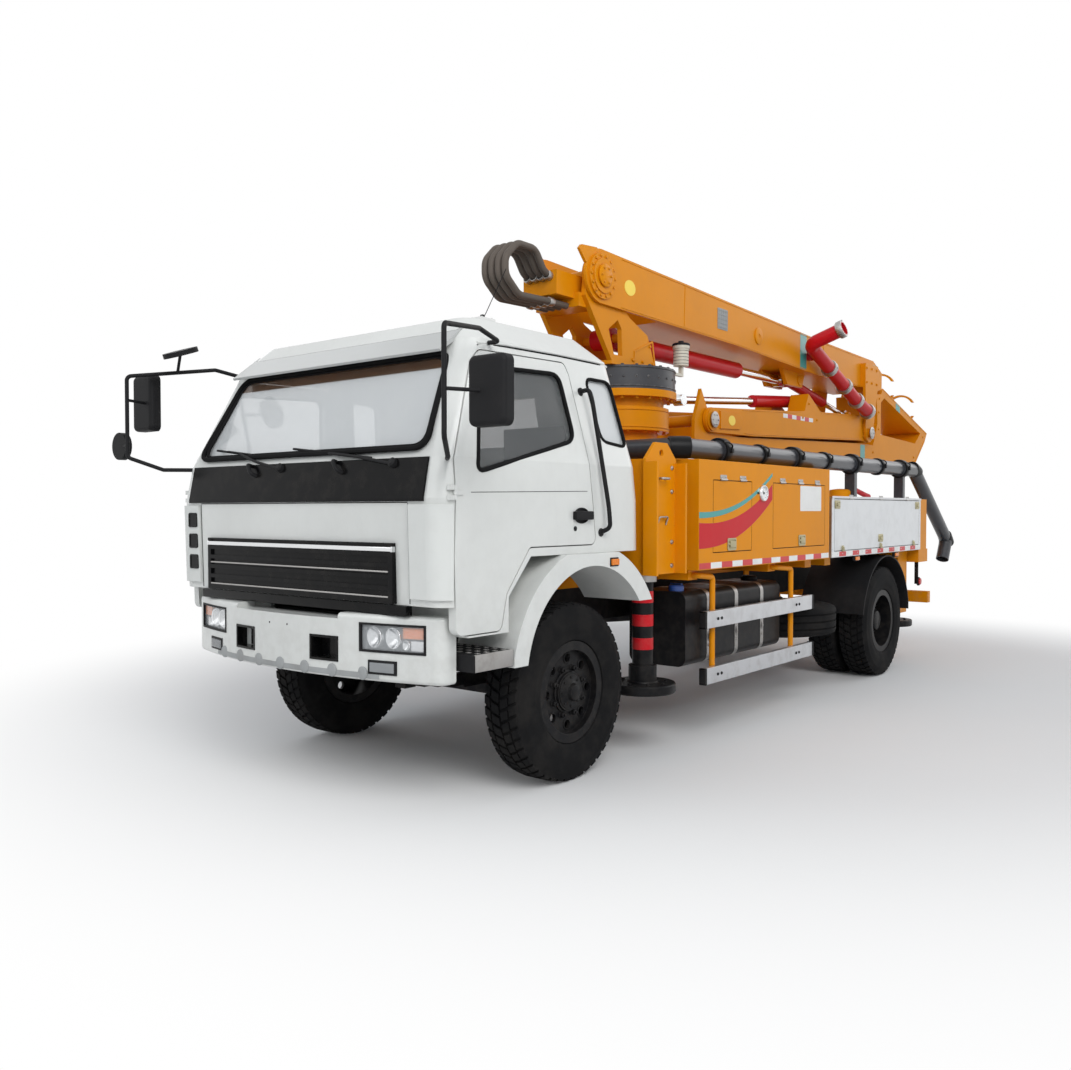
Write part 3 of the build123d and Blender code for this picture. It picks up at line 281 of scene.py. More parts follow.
def two_tone(name, cab, dark, pale):
    """Black panels between white corner panels, under a pale visor."""
    f = Finish(name)
    side = f.along("Y").maths("ABSOLUTE").between(0.899, 0.901)
    low = 1.0 - f.height().between(1.577, 1.579)
    high = f.height().between(2.29, 2.31)
    tone = f.blend(side * low, dark, cab)
    tone = f.blend(high, tone, pale)
    soil = f.noise(12.0, 6.0).between(0.45, 0.7) * 0.03
    FINISHES[name] = f.surface(
        Base_Color=f.blend(soil, tone, DUST), Roughness=soil * 0.8 + 0.2, Specular_IOR_Level=0.12,
        Normal=f.bump(f.noise(260.0, 2.0), 0.04, 0.001, 0.004))


# Meshes
def placed(a, b, c, axis):
    """A place from an outline's two coordinates and a third along the axis."""
    return at(*{"x": (c, a, b), "y": (a, c, b), "z": (a, b, c)}[axis])


class Mould:
    """Collects the forms of one piece, in millimetres from the front axle."""

    def __init__(self):
        self.mesh = bmesh.new()

    def block(self, x, y, z, soft=0.0):
        """A box over three ranges, with its edges rounded."""
        made = bmesh.ops.create_cube(self.mesh, size=1.0)["verts"]
        middle = at(*[sum(r) / 2 for r in (x, y, z)])
        size = Vector([abs(r[1] - r[0]) * MM for r in (x, y, z)])
        for v in made:
            v.co = middle + Vector([a * b for a, b in zip(v.co, size)])
        self.soften(made, soft)

    def soften(self, verts, width):
        if width:
            edges = {e for v in verts for e in v.link_edges}
            bmesh.ops.bevel(self.mesh, geom=list(edges), offset=width * MM, segments=2,
                            profile=0.7, affect="EDGES")

    def plate(self, outline, low, high, axis="y", soft=0.0):
        """A flat outline pushed through from low to high along an axis."""
        verts = [self.mesh.verts.new(placed(a, b, low, axis)) for a, b in outline]
        push = placed(0, 0, high, axis) - placed(0, 0, low, axis)
        grown = bmesh.ops.extrude_face_region(self.mesh, geom=[self.mesh.faces.new(verts)])["geom"]
        new = [g for g in grown if isinstance(g, bmesh.types.BMVert)]
        bmesh.ops.translate(self.mesh, verts=new, vec=push)
        self.soften(verts + new, soft)

    def sweep(self, points, radius, sides, bend=0.0, closed=False):
        """A round bar along a line of points, with rounded corners."""
        spots = [at(*p) for p in points]
        if bend:
            spots = round_corners(spots, bend * MM)
        rings = []
        count = len(spots)
        side = None
        for i, spot in enumerate(spots):
            ahead = spots[(i + 1) % count] if closed or i + 1 < count else spot
            behind = spots[i - 1] if closed or i else spot
            along = (ahead - behind).normalized()
            if side is None:
                side = along.orthogonal().normalized()
            side = (side - along * side.dot(along)).normalized()
            up = along.cross(side)
            rings.append(self.hoop(spot, side, up, radius, sides))
        for a, b in zip(rings, rings[1:] + rings[:1] if closed else rings[1:]):
            for k in range(sides):
                self.mesh.faces.new((a[k], a[(k + 1) % sides], b[(k + 1) % sides], b[k]))
        if not closed:
            self.mesh.faces.new(reversed(rings[0]))
            self.mesh.faces.new(rings[-1])

    def hoop(self, middle, first, second, radius, sides):
        """Points round a circle in the plane of two directions."""
        return [self.mesh.verts.new(middle + (first * math.cos(t) + second * math.sin(t)) * radius * MM)
                for t in (2 * math.pi * k / sides for k in range(sides))]

    def ring(self, outer, inner, low, high, axis="y"):
        """A frame between two outlines of the same count, pushed from low to high along an axis."""
        loops = [[self.mesh.verts.new(placed(a, b, c, axis)) for a, b in outline]
                 for outline, c in ((outer, low), (outer, high), (inner, high), (inner, low))]
        for one, two in zip(loops, loops[1:] + loops[:1]):
            for k in range(len(outer)):
                n = (k + 1) % len(outer)
                self.mesh.faces.new((one[k], one[n], two[n], two[k]))

    def rim(self, box, radius, inset, inner_radius, low, high, axis="y"):
        """A frame between a soft rectangle and a smaller one inside it."""
        x0, x1, z0, z1 = box
        inner = soft_rectangle(x0 + inset, x1 - inset, z0 + inset, z1 - inset, inner_radius)
        self.ring(soft_rectangle(*box, radius), inner, low, high, axis)

    def lathe(self, centre, axis, profile, sides):
        """Turns a line of (radius, along) points about an axis through the centre.

        A line that keeps off the axis at both ends is closed into a ring.
        """
        direction = Vector(axis).normalized()
        first = direction.orthogonal().normalized()
        second = direction.cross(first)
        middle = at(*centre)
        rings = []
        for radius, along in profile:
            core = middle + direction * along * MM
            if radius <= 0:
                rings.append([self.mesh.verts.new(core)])
                continue
            rings.append(self.hoop(core, first, second, radius, sides))
        pairs = list(zip(rings, rings[1:]))
        if profile[0][0] > 0 and profile[-1][0] > 0:
            pairs.append((rings[-1], rings[0]))
        for a, b in pairs:
            for k in range(sides):
                n = (k + 1) % sides
                if len(a) == 1:
                    self.mesh.faces.new((a[0], b[n], b[k]))
                elif len(b) == 1:
                    self.mesh.faces.new((a[k], a[n], b[0]))
                else:
                    self.mesh.faces.new((a[k], a[n], b[n], b[k]))

    def bolt(self, place, axis, size, head):
        """A hexagon head on a washer."""
        self.lathe(place, axis, disc(size * 1.25, 2), 20)
        self.lathe(place, axis, [(0, 1), (size, 1), (size, head - 2), (size * 0.85, head), (0, head)], 6)

    def mirrored(self):
        """Adds the same forms on the other side of the truck."""
        geom = list(self.mesh.verts) + list(self.mesh.edges) + list(self.mesh.faces)
        copy = bmesh.ops.duplicate(self.mesh, geom=geom)
        verts = [g for g in copy["geom"] if isinstance(g, bmesh.types.BMVert)]
        faces = [g for g in copy["geom"] if isinstance(g, bmesh.types.BMFace)]
        bmesh.ops.scale(self.mesh, verts=verts, vec=(1, -1, 1))
        bmesh.ops.reverse_faces(self.mesh, faces=faces)
        return self

    def moved_to(self, side):
        """Puts the forms on the left side for 1, or on the right side for -1."""
        bmesh.ops.scale(self.mesh, verts=self.mesh.verts, vec=(1, side, 1))
        return self

    def piece(self, name, finish, body="truck", slot=None, sharp=35):
        """Turns the forms into an object that rides on a body and takes a finish. The slot is not used."""
        bmesh.ops.recalc_face_normals(self.mesh, faces=self.mesh.faces)
        mesh = bpy.data.meshes.new(name)
        self.mesh.to_mesh(mesh)
        self.mesh.free()
        mesh.shade_smooth()
        mesh.set_sharp_from_angle(angle=math.radians(sharp))
        mesh.materials.append(FINISHES[finish])
        made = bpy.data.objects.new(name, mesh)
        bpy.context.scene.collection.objects.link(made)
        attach(made, body)
        return made


# Outlines and profiles
def curve(before, corner, after, bend, steps):
    """Points round a corner, from the side before it to the side after it."""
    a, b = before - corner, after - corner
    reach = min(bend, a.length * 0.45, b.length * 0.45)
    start, end = corner + a.normalized() * reach, corner + b.normalized() * reach
    return [start * (1 - t) ** 2 + corner * 2 * t * (1 - t) + end * t ** 2
            for t in (k / steps for k in range(steps + 1))]


def round_corners(spots, bend):
    """Rounds the corners of an open line."""
    out = [spots[0]]
    for before, corner, after in zip(spots, spots[1:], spots[2:]):
        out += curve(before, corner, after, bend, 6)
    return out + [spots[-1]]


def smooth_loop(points, radius, steps=5):
    """Rounds the corners of a closed outline."""
    spots = [Vector(p) for p in points]
    out = []
    for i, corner in enumerate(spots):
        out += curve(spots[i - 1], corner, spots[(i + 1) % len(spots)], radius, steps)
    return [tuple(p) for p in out]


def circle(count, radius, shift=0.0):
    """Points evenly round a circle, the first shifted by a part of a step."""
    angles = [2 * math.pi * (k + shift) / count for k in range(count)]
    return [(radius * math.cos(t), radius * math.sin(t)) for t in angles]


def oval(x, z, wide, tall):
    return [(x + a * wide, z + b * tall) for a, b in circle(32, 1.0)]


def rectangle(x0, x1, z0, z1):
    return ((x0, z0), (x1, z0), (x1, z1), (x0, z1))


def soft_rectangle(x0, x1, z0, z1, radius, steps=5):
    """A rectangle with rounded corners."""
    out = []
    for cx, cz, start in ((x1 - radius, z1 - radius, 0), (x0 + radius, z1 - radius, 90),
                          (x0 + radius, z0 + radius, 180), (x1 - radius, z0 + radius, 270)):
        for k in range(steps + 1):
            t = math.radians(start + 90 * k / steps)
            out.append((cx + radius * math.cos(t), cz + radius * math.sin(t)))
    return out


def disc(radius, height, low=0):
    """The profile of a flat disc."""
    return [(0, low), (radius, low), (radius, height), (0, height)]


def cap(radius, edge, inner, height):
    """The profile of a disc whose upper edge slopes in."""
    return [(0, 0), (radius, 0), (radius, edge), (inner, height), (0, height)]


def sleeve(inner, outer, height):
    """The profile of a plain collar."""
    return [(inner, 0), (outer, 0), (outer, height), (inner, height)]


def layer(side, half, thick):
    """Where a thin plate starts and ends on a face that stands half from the middle."""
    return side * (half - 0.5), side * (half + thick)


# Settings
class PumpTruckPaint(PropertyGroup):
    """Colours that an owner would choose."""

    body: FloatVectorProperty(name="Body", description="Paint of the boom, boxes and posts",
                              subtype="COLOR", default=(0.74, 0.265, 0.002))
    cab: FloatVectorProperty(name="Cab", description="Paint of the cab and bumper", subtype="COLOR",
                             default=(0.68, 0.69, 0.665))
    sweep: FloatVectorProperty(name="Sweep", description="Paint of the sweeps, cylinders and boom pipe",
                               subtype="COLOR", default=(0.56, 0.008, 0.016))
    band: FloatVectorProperty(name="Band", description="Paint of the bands on the boom", subtype="COLOR",
                              default=(0.03, 0.30, 0.28))


class PumpTruckStudio(PropertyGroup):
    """The camera and the lamps."""

    lens: FloatProperty(name="Lens", description="Focal length on a 36 mm sensor", default=32.71,
                        unit="CAMERA")
    key: FloatProperty(name="Key lamp", description="Power of the key lamp", default=900.0, unit="POWER")
    fill: FloatProperty(name="Fill lamp", description="Power of the fill lamp", default=290.0, unit="POWER")
    sky: FloatProperty(name="Sky", description="Strength of the light from all round", default=0.42)


class PumpTruckWheels(PropertyGroup):
    """Tread and fixings of the wheels."""

    lugs: IntProperty(name="Lugs", description="Tread blocks round each row", default=48)
    nuts: IntProperty(name="Nuts", description="Nuts on each hub", default=8)
    depth: FloatProperty(name="Depth", description="Depth of the tread", default=0.016, unit="LENGTH")


def truck_finishes():
    """Every finish on the truck."""
    colours = bpy.context.scene.pump_truck_paint
    body, cab = list(colours.body), list(colours.cab)
    sweep, band = list(colours.sweep), list(colours.band)
    paint("orange_paint", body, 0.36, 0.0, 0.16, 0.3, (0.45, 0.2, 0.06), 0.1)
    paint("cab_paint", cab, 0.28, 0.4, 0.16, 0.15)
    paint("red_paint", sweep, 0.34, 0.05, 0.16, 0.3, shine=0.15)
    paint("band_paint", band, 0.4, 0.3, 0.35, 0.4)
    paint("white_paint", [0.72, 0.72, 0.7], 0.4, 0.2, 0.4, 0.3)
    paint("blue_paint", [0.02, 0.09, 0.4], 0.4, 0.2, 0.3, 0.2)
    paint("black_paint", [0.008, 0.008, 0.009], 0.36, 0.0, 0.06, 0.18, (0.10, 0.09, 0.085), 0.12)
    paint("gloss_black", [0.004, 0.004, 0.0045], 0.12, 0.05, 0.04, 0.1, (0.05, 0.05, 0.05), 0.12)
    paint("frame_paint", [0.01, 0.01, 0.011], 0.5, 0.0, 0.1, 0.2, (0.12, 0.11, 0.1), 0.1)
    paint("casting", [0.02, 0.02, 0.022], 0.6, 0.0, 0.15, 0.3, (0.16, 0.15, 0.14), 0.1)
    paint("drum_paint", [0.045, 0.047, 0.053], 0.42, 0.1, 0.2, 0.5, shine=0.3)
    paint("pipe_paint", [0.035, 0.038, 0.046], 0.33, 0.2, 0.2, 0.45, (0.25, 0.24, 0.23), 0.4)
    bare_metal("sheet_aluminium", [0.66, 0.68, 0.70], 0.36, (0.6, 6.0, 6.0), 0.35)
    bare_metal("rail_aluminium", [0.62, 0.63, 0.65], 0.34, (0.3, 8.0, 8.0), 0.3)
    bare_metal("chrome", [0.78, 0.79, 0.8], 0.09, (1, 1, 1), 0.15)
    bare_metal("steel", [0.42, 0.41, 0.40], 0.36, (1, 1, 1), 0.6)
    bare_metal("brass_latch", [0.45, 0.41, 0.26], 0.38, (1, 1, 1), 0.4)
    moulded("rubber", [0.008, 0.008, 0.0085], 0.72, 260.0, 0.1, shine=0.08)
    moulded("hose_cover", [0.10, 0.082, 0.068], 0.6, 500.0, 0.3, shine=0.3)
    moulded("black_plastic", [0.012, 0.012, 0.013], 0.5, 420.0, 0.1, shine=0.12)
    moulded("trim_plastic", [0.07, 0.07, 0.075], 0.6, 520.0, 0.2)
    moulded("cream_plastic", [0.6, 0.57, 0.48], 0.35, 200.0, 0.2)
    moulded("grey_plastic", [0.30, 0.31, 0.31], 0.5, 300.0, 0.4)
    moulded("amber_lens", [0.75, 0.20, 0.01], 0.16, 60.0, 0.1)
    moulded("red_lens", [0.5, 0.01, 0.01], 0.16, 60.0, 0.1)
    moulded("white_tape", [0.75, 0.75, 0.73], 0.35, 600.0, 0.3)
    moulded("red_tape", [0.55, 0.02, 0.025], 0.35, 600.0, 0.3)
    # The windscreen glass is coloured near white: a painted reflection of the bright sky, under its real
    # dust film and tinted top band.
    clear("window_glass", (0.9, 0.93, 0.94), 0.42, band=(0.15, 0.065, 0.025))
    clear("door_glass", (0.1, 0.11, 0.115), 0.36)
    two_tone("front_panel_paint", cab, [0.004, 0.004, 0.0045], [0.46, 0.47, 0.46])
    moulded("gauge_face", [0.8, 0.8, 0.78], 0.3, 500.0, 0.1)
    moulded("oval_paint", [0.85, 0.62, 0.05], 0.35, 500.0, 0.15)
    clear("lamp_lens", (0.72, 0.75, 0.77), 0.35, 0.03)


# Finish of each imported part
DRESS = {node: finish for finish, nodes in {
    "rubber": "front_tyre_left front_tyre_right rear_tyres_left rear_tyres_right spare_wheel",
    "black_paint": "front_rim_left front_rim_right rear_rims_left rear_rims_right side_tanks "
                   "front_jack_left front_jack_right rear_jack_left rear_jack_right",
    "casting": "knuckle_left knuckle_right axles power_train",
    "frame_paint": "leaf_springs chassis_frame hopper_grate",
    "cab_paint": "cab_shell door_left door_right front_bumper fenders",
    "window_glass": "cab_glass",
    "door_glass": "door_glass_left door_glass_right",
    "trim_plastic": "cab_interior",
    "front_panel_paint": "front_panels",
    "lamp_lens": "headlamps",
    "black_plastic": "mudguards mirrors",
    "orange_paint": "pump_subframe pedestal side_boxes guard_hoops outrigger_left outrigger_right "
                    "turret boom_1 arm_2 arm_3 hopper rear_bumper",
    "sheet_aluminium": "toolboxes",
    "rail_aluminium": "side_guards",
    "drum_paint": "slew_drum",
    "cream_plastic": "grease_pot",
    "hose_cover": "hose_bundle",
    "red_paint": "boom_pipes luff_barrel arm_2_barrel arm_3_barrel pump_cylinders",
    "chrome": "luff_rod arm_2_rod arm_3_rod",
    "pipe_paint": "delivery_pipe",
}.items() for node in nodes.split()}


class PUMPTRUCK_OT_finishes(Operator):
    """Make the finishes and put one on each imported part"""

    bl_idname = "pump_truck.finishes"
    bl_label = "Finishes"

    def execute(self, context):
        truck_finishes()
        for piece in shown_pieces():
            node = piece.get("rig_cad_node")
            if node not in DRESS:
                raise RuntimeError(f"no finish is chosen for {node}")
            for slot in piece.material_slots:
                slot.material = FINISHES[DRESS[node]]
            if not piece.material_slots:
                raise RuntimeError(f"{node} has no material slot")
        return {"FINISHED"}


# The photograph's camera, its yaw and pitch in degrees, and the floor's half width in metres
CAMERA_PLACE = (4414.4, 4347.5, 1539.6)
CAMERA_TURN = (219.017, -1.435)
FLOOR = 90.0
DIRECT_RAYS = ("Is Camera Ray", "Is Transmission Ray", "Is Glossy Ray")


class PUMPTRUCK_OT_stage(Operator):
    """Set up the floor, the lamps and the camera"""

    bl_idname = "pump_truck.stage"
    bl_label = "Stage"

    def execute(self, context):
        studio = context.scene.pump_truck_studio
        scene = context.scene
        scene.view_settings.view_transform = "Standard"
        data = bpy.data.cameras.new("camera")
        data.lens = studio.lens
        data.sensor_width = 36.0
        data.clip_end = 200.0
        camera = bpy.data.objects.new("camera", data)
        camera.location = at(*CAMERA_PLACE)
        yaw, pitch = (math.radians(angle) for angle in CAMERA_TURN)
        level = math.cos(pitch)
        look = Vector((level * math.cos(yaw), level * math.sin(yaw), math.sin(pitch)))
        camera.rotation_euler = look.to_track_quat("-Z", "Y").to_euler()
        scene.collection.objects.link(camera)
        scene.camera = camera
        middle = at(-3700, 0, 900)
        for name, power, size, place in (
                ("key", studio.key, 7.0, (4500, 9000, 8500)),
                ("fill", studio.fill, 9.0, (9500, -2500, 6500)),
                ("back", studio.fill * 0.8, 8.0, (-12500, 4500, 7500)),
                ("far", studio.fill * 0.5, 8.0, (-5000, -11000, 7000))):
            lamp = bpy.data.lights.new(name, "AREA")
            lamp.energy = power
            lamp.size = size
            holder = bpy.data.objects.new(name, lamp)
            holder.location = at(*place)
            holder.rotation_euler = (middle - holder.location).to_track_quat("-Z", "Y").to_euler()
            scene.collection.objects.link(holder)
        self.backdrop(scene, studio)
        self.floor(scene)
        return {"FINISHED"}

    def backdrop(self, scene, studio):
        """A soft sky that the camera, glass and reflections see as plain white."""
        world = bpy.data.worlds.new("studio")
        world.use_nodes = True
        scene.world = world
        tree = world.node_tree
        ground = tree.nodes["Background"]
        ground.inputs["Color"].default_value = (0.86, 0.92, 1.0, 1.0)
        ground.inputs["Strength"].default_value = studio.sky
        seen = tree.nodes.new("ShaderNodeBackground")
        seen.inputs["Color"].default_value = BACKDROP
        path = tree.nodes.new("ShaderNodeLightPath")
        direct = path.outputs[DIRECT_RAYS[0]]
        for ray in DIRECT_RAYS[1:]:
            either = tree.nodes.new("ShaderNodeMath")
            either.operation = "MAXIMUM"
            tree.links.new(direct, either.inputs[0])
            tree.links.new(path.outputs[ray], either.inputs[1])
            direct = either.outputs[0]
        mix = tree.nodes.new("ShaderNodeMixShader")
        tree.links.new(direct, mix.inputs[0])
        tree.links.new(ground.outputs[0], mix.inputs[1])
        tree.links.new(seen.outputs[0], mix.inputs[2])
        tree.links.new(mix.outputs[0], tree.nodes["World Output"].inputs["Surface"])

    def floor(self, scene):
        """A pale floor that fades into the backdrop away from the truck."""
        f = Finish("studio_floor")
        patch = f.noise(0.6, 4.0)
        f.surface(Base_Color=f.blend(patch * 0.5, (0.80, 0.80, 0.795), (0.74, 0.74, 0.735)), Roughness=0.85)
        spot = f.place((1.0, 1.0, 0.0))
        away = f.node("ShaderNodeVectorMath", {"operation": "LENGTH"}, {0: spot}, "Value")
        rays = f.tree.nodes.new("ShaderNodeLightPath")
        seen, *others = (Field(f, rays.outputs[ray]) for ray in DIRECT_RAYS)
        for other in others:
            seen = seen.most(other)
        glow = f.node("ShaderNodeEmission", inputs={"Color": BACKDROP, "Strength": 1.0})
        both = f.node("ShaderNodeMixShader", inputs={
            0: away.between(3.6, 7.0) * seen, 1: Field(f, f.shader.outputs[0]), 2: glow})
        f.tree.links.new(both.socket, f.tree.nodes["Material Output"].inputs["Surface"])
        mesh = bpy.data.meshes.new("floor")
        corners = [(x, y, 0) for x, y in rectangle(-FLOOR, FLOOR, -FLOOR, FLOOR)]
        mesh.from_pydata(corners, [], [(0, 1, 2, 3)])
        mesh.materials.append(f.material)
        floor = bpy.data.objects.new("floor", mesh)
        scene.collection.objects.link(floor)
        floor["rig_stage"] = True


class PUMPTRUCK_OT_tyres(Operator):
    """Tyres with grooved, lugged treads in place of the plain ones"""

    bl_idname = "pump_truck.tyres"
    bl_label = "Tyres"

    def execute(self, context):
        wheels = context.scene.pump_truck_wheels
        for node, body, x, rows in (("front_tyre", "front_wheel", 0, (930,)),
                                    ("rear_tyres", "rear_wheels", REAR_X, (1035, 735))):
            for side, s in SIDES:
                mould = Mould()
                for y in rows:
                    tyre(mould, (x, s * y, HUB), wheels)
                name = node.replace("tyre", "road_tyre")
                made = mould.piece(f"{name}_{side}", "rubber", f"{body}_{side}", "tyre_rubber", 40)
                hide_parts(f"{node}_{side}")
        return {"FINISHED"}


TYRE_SIDE = [(255, 97), (291, 97), (296, 116), (318, 124), (330, 122), (345, 127), (372, 129.5), (405, 129),
             (432, 126), (444, 127.5), (452, 124), (470, 118), (492, 108)]
# Each row of lugs: its two edges across the tread, and its shift round the wheel in lugs.
TREAD_ROWS = ((-109, -66, 0.0), (-56, -6, 0.5), (6, 56, 0.0), (66, 109, 0.5))
SHOULDER, SHOULDER_DROP = 100, 7
LUG_HALF, LUG_LEAN, LUG_ROOT = 0.36, 0.16, 6


def tyre(mould, centre, wheels):
    """One tyre: a casing with ribs on its sides, and rows of leaning tread lugs."""
    floor = HUB - wheels.depth / MM
    right = TYRE_SIDE + [(floor, 96)]
    mould.lathe(centre, ACROSS, right + [(r, -a) for r, a in reversed(right)], 96)
    direction = Vector(ACROSS)
    first = direction.orthogonal().normalized()
    second = direction.cross(first)
    middle = Vector(centre)
    step = 2 * math.pi / wheels.lugs

    def spot(radius, along, angle):
        around = first * math.cos(angle) + second * math.sin(angle)
        return mould.mesh.verts.new(at(*(middle + direction * along + around * radius)))

    for low, high, shift in TREAD_ROWS:
        lean = step * LUG_LEAN * (1 if low < 0 else -1)
        wide = step * LUG_HALF
        for k in range(wheels.lugs):
            a = step * (k + shift)
            corners = ((low, a - wide - lean), (low, a + wide - lean),
                       (high, a + wide + lean), (high, a - wide + lean))
            top = [spot(HUB - (SHOULDER_DROP if abs(y) > SHOULDER else 0), y, t) for y, t in corners]
            base = [spot(floor - LUG_ROOT, y, t) for y, t in corners]
            mould.mesh.faces.new(top)
            for i in range(4):
                j = (i + 1) % 4
                mould.mesh.faces.new((base[i], base[j], top[j], top[i]))


class PUMPTRUCK_OT_hubs(Operator):
    """Wheel nuts, hub caps, valves and hand hole rims"""

    bl_idname = "pump_truck.hubs"
    bl_label = "Hubs"

    def execute(self, context):
        nuts = context.scene.pump_truck_wheels.nuts
        for end, wheel, x, disc_y, face_y, top in (("front", "front_wheel", 0, 998, 1025, 52),
                                                   ("rear", "rear_wheels", REAR_X, 938, 1055, 96)):
            for side, s in SIDES:
                axis = (0, s, 0)
                mould = Mould()
                for a, b in circle(nuts, 138, 0.5):
                    spot = (x + a, s * disc_y, HUB + b)
                    mould.lathe(spot, axis, disc(22, 4), 20)
                    mould.lathe(spot, axis, [(0, 3), (16, 3), (16, 22), (12, 26), (0, 26)], 6)
                    mould.lathe(spot, axis, [(0, 20), (8, 20), (8, 36), (0, 37)], 12)
                mould.lathe((x, s * disc_y, HUB), axis, [(112, 0), (122, 0), (122, 10), (112, 14)], 40)
                mould.lathe((x, s * face_y, HUB), axis,
                            [(100, -2), (100, 4), (top + 20, 8), (top, 20), (top - 8, 40), (top - 20, 46),
                             (0, 48)], 40)
                for a, b in circle(8, 84):
                    mould.lathe((x + a, s * (face_y + 4), HUB + b), axis, disc(8, 8), 6)
                mould.piece(f"{end}_hub_fittings_{side}", "black_paint", f"{wheel}_{side}", "rim_black")
                mould = Mould()
                for a, b in circle(8, 190):
                    mould.lathe((x + a, s * (disc_y - 2), HUB + b), axis,
                                [(26, 0), (34, 0), (32, 6), (26, 8)], 24)
                valve = ((225, 0), (228, 30), (236, 62))
                mould.sweep([(x + dx, s * (disc_y + out), HUB) for dx, out in valve], 5, 8, 12)
                mould.piece(f"{end}_hand_holes_{side}", "black_paint", f"{wheel}_{side}", "rim_black")
        return {"FINISHED"}


# Cab: height, back, front and half width at levels from the sill to the roof
CAB_LEVELS = ((880, -605, 1116, 1130), (1600, -590, 1136, 1130), (1800, -565, 1096, 1125),
              (2420, -430, 800, 1010), (2550, -305, 690, 880))
CAB_ROUND = 110
DOOR_WINDOW = ((780, 2270), (125, 2295), (65, 1930), (900, 1725))
QUARTER_WINDOW = ((-125, 2300), (-370, 2300), (-450, 1915), (-200, 1940))


def cab_at(z):
    """The cab's back, front and half width at a height."""
    for low, high in zip(CAB_LEVELS, CAB_LEVELS[1:]):
        if z <= high[0]:
            t = max(0.0, (z - low[0]) / (high[0] - low[0]))
            return [a + (b - a) * t for a, b in zip(low[1:], high[1:])]
    return CAB_LEVELS[-1][1:]


def rounded_in(reach):
    """How far the cab's rounded edge falls back at this distance from it."""
    return CAB_ROUND - math.sqrt(max(0.0, CAB_ROUND ** 2 - max(0.0, CAB_ROUND - reach) ** 2))


def on_side(x, z, out=0.0):
    """A place on the left side of the cab."""
    back, front, half = cab_at(z)
    return (x, half - rounded_in(min(front - x, x - back)) + out, z)


def on_front(y, z, out=0.0):
    """A place on the front of the cab."""
    _, front, half = cab_at(z)
    return (front - rounded_in(half - abs(y)) + out, y, z)


def screen_point(a, b, out=0.0):
    """A place on the windscreen, a across and b up from its middle."""
    return (955 - 0.471 * b + 0.902 * out, a, 2095 + 0.882 * b + 0.431 * out)


class PUMPTRUCK_OT_cab_seals(Operator):
    """Rubber seals round the windows, the drip rail, and a black line under the rail that is its painted
    shadow
    """

    bl_idname = "pump_truck.cab_seals"
    bl_label = "Cab seals"

    def execute(self, context):
        mould = Mould()
        for a, b, rise, out, radius in ((972, 882, 285, 4, 15), (950, 862, 266, -5, 10)):
            loop = smooth_loop(((-a, -rise), (a, -rise), (b, rise), (-b, rise)), 90, 8)
            mould.sweep([screen_point(p, q, out) for p, q in loop], radius, 8, closed=True)
        mould.piece("windscreen_seal", "rubber")
        mould = Mould()
        mould.sweep([on_side(x, z, -1) for x, z in smooth_loop(QUARTER_WINDOW, 60)], 10, 8, closed=True)
        mould.mirrored().piece("quarter_seals", "rubber")
        for side, s in SIDES:
            mould = Mould()
            mould.sweep([on_side(x, z, -1) for x, z in smooth_loop(DOOR_WINDOW, 70)], 12, 8, closed=True)
            mould.sweep([on_side(x, 1640 - (x - 400) * 0.02, 0.5) for x in range(-20, 1000, 60)], 1.5, 6)
            mould.moved_to(s).piece(f"door_seal_{side}", "rubber", f"door_{side}")
        mould = Mould()
        rail = [on_side(x, z, 5)
                for x, z in ((760, 2388), (600, 2404), (100, 2412), (-300, 2410), (-400, 2398))]
        mould.sweep(rail, 8, 8, 60)
        mould.mirrored().piece("drip_rails", "cab_paint")
        # A thin black line just under each drip rail, in the rubber finish: a painted shadow of the rail,
        # not a seal.
        mould = Mould()
        mould.sweep([(x, y - 2, z - 11) for x, y, z in rail], 4, 6, 60)
        mould.mirrored().piece("drip_rail_shadow_lines", "rubber")
        return {"FINISHED"}


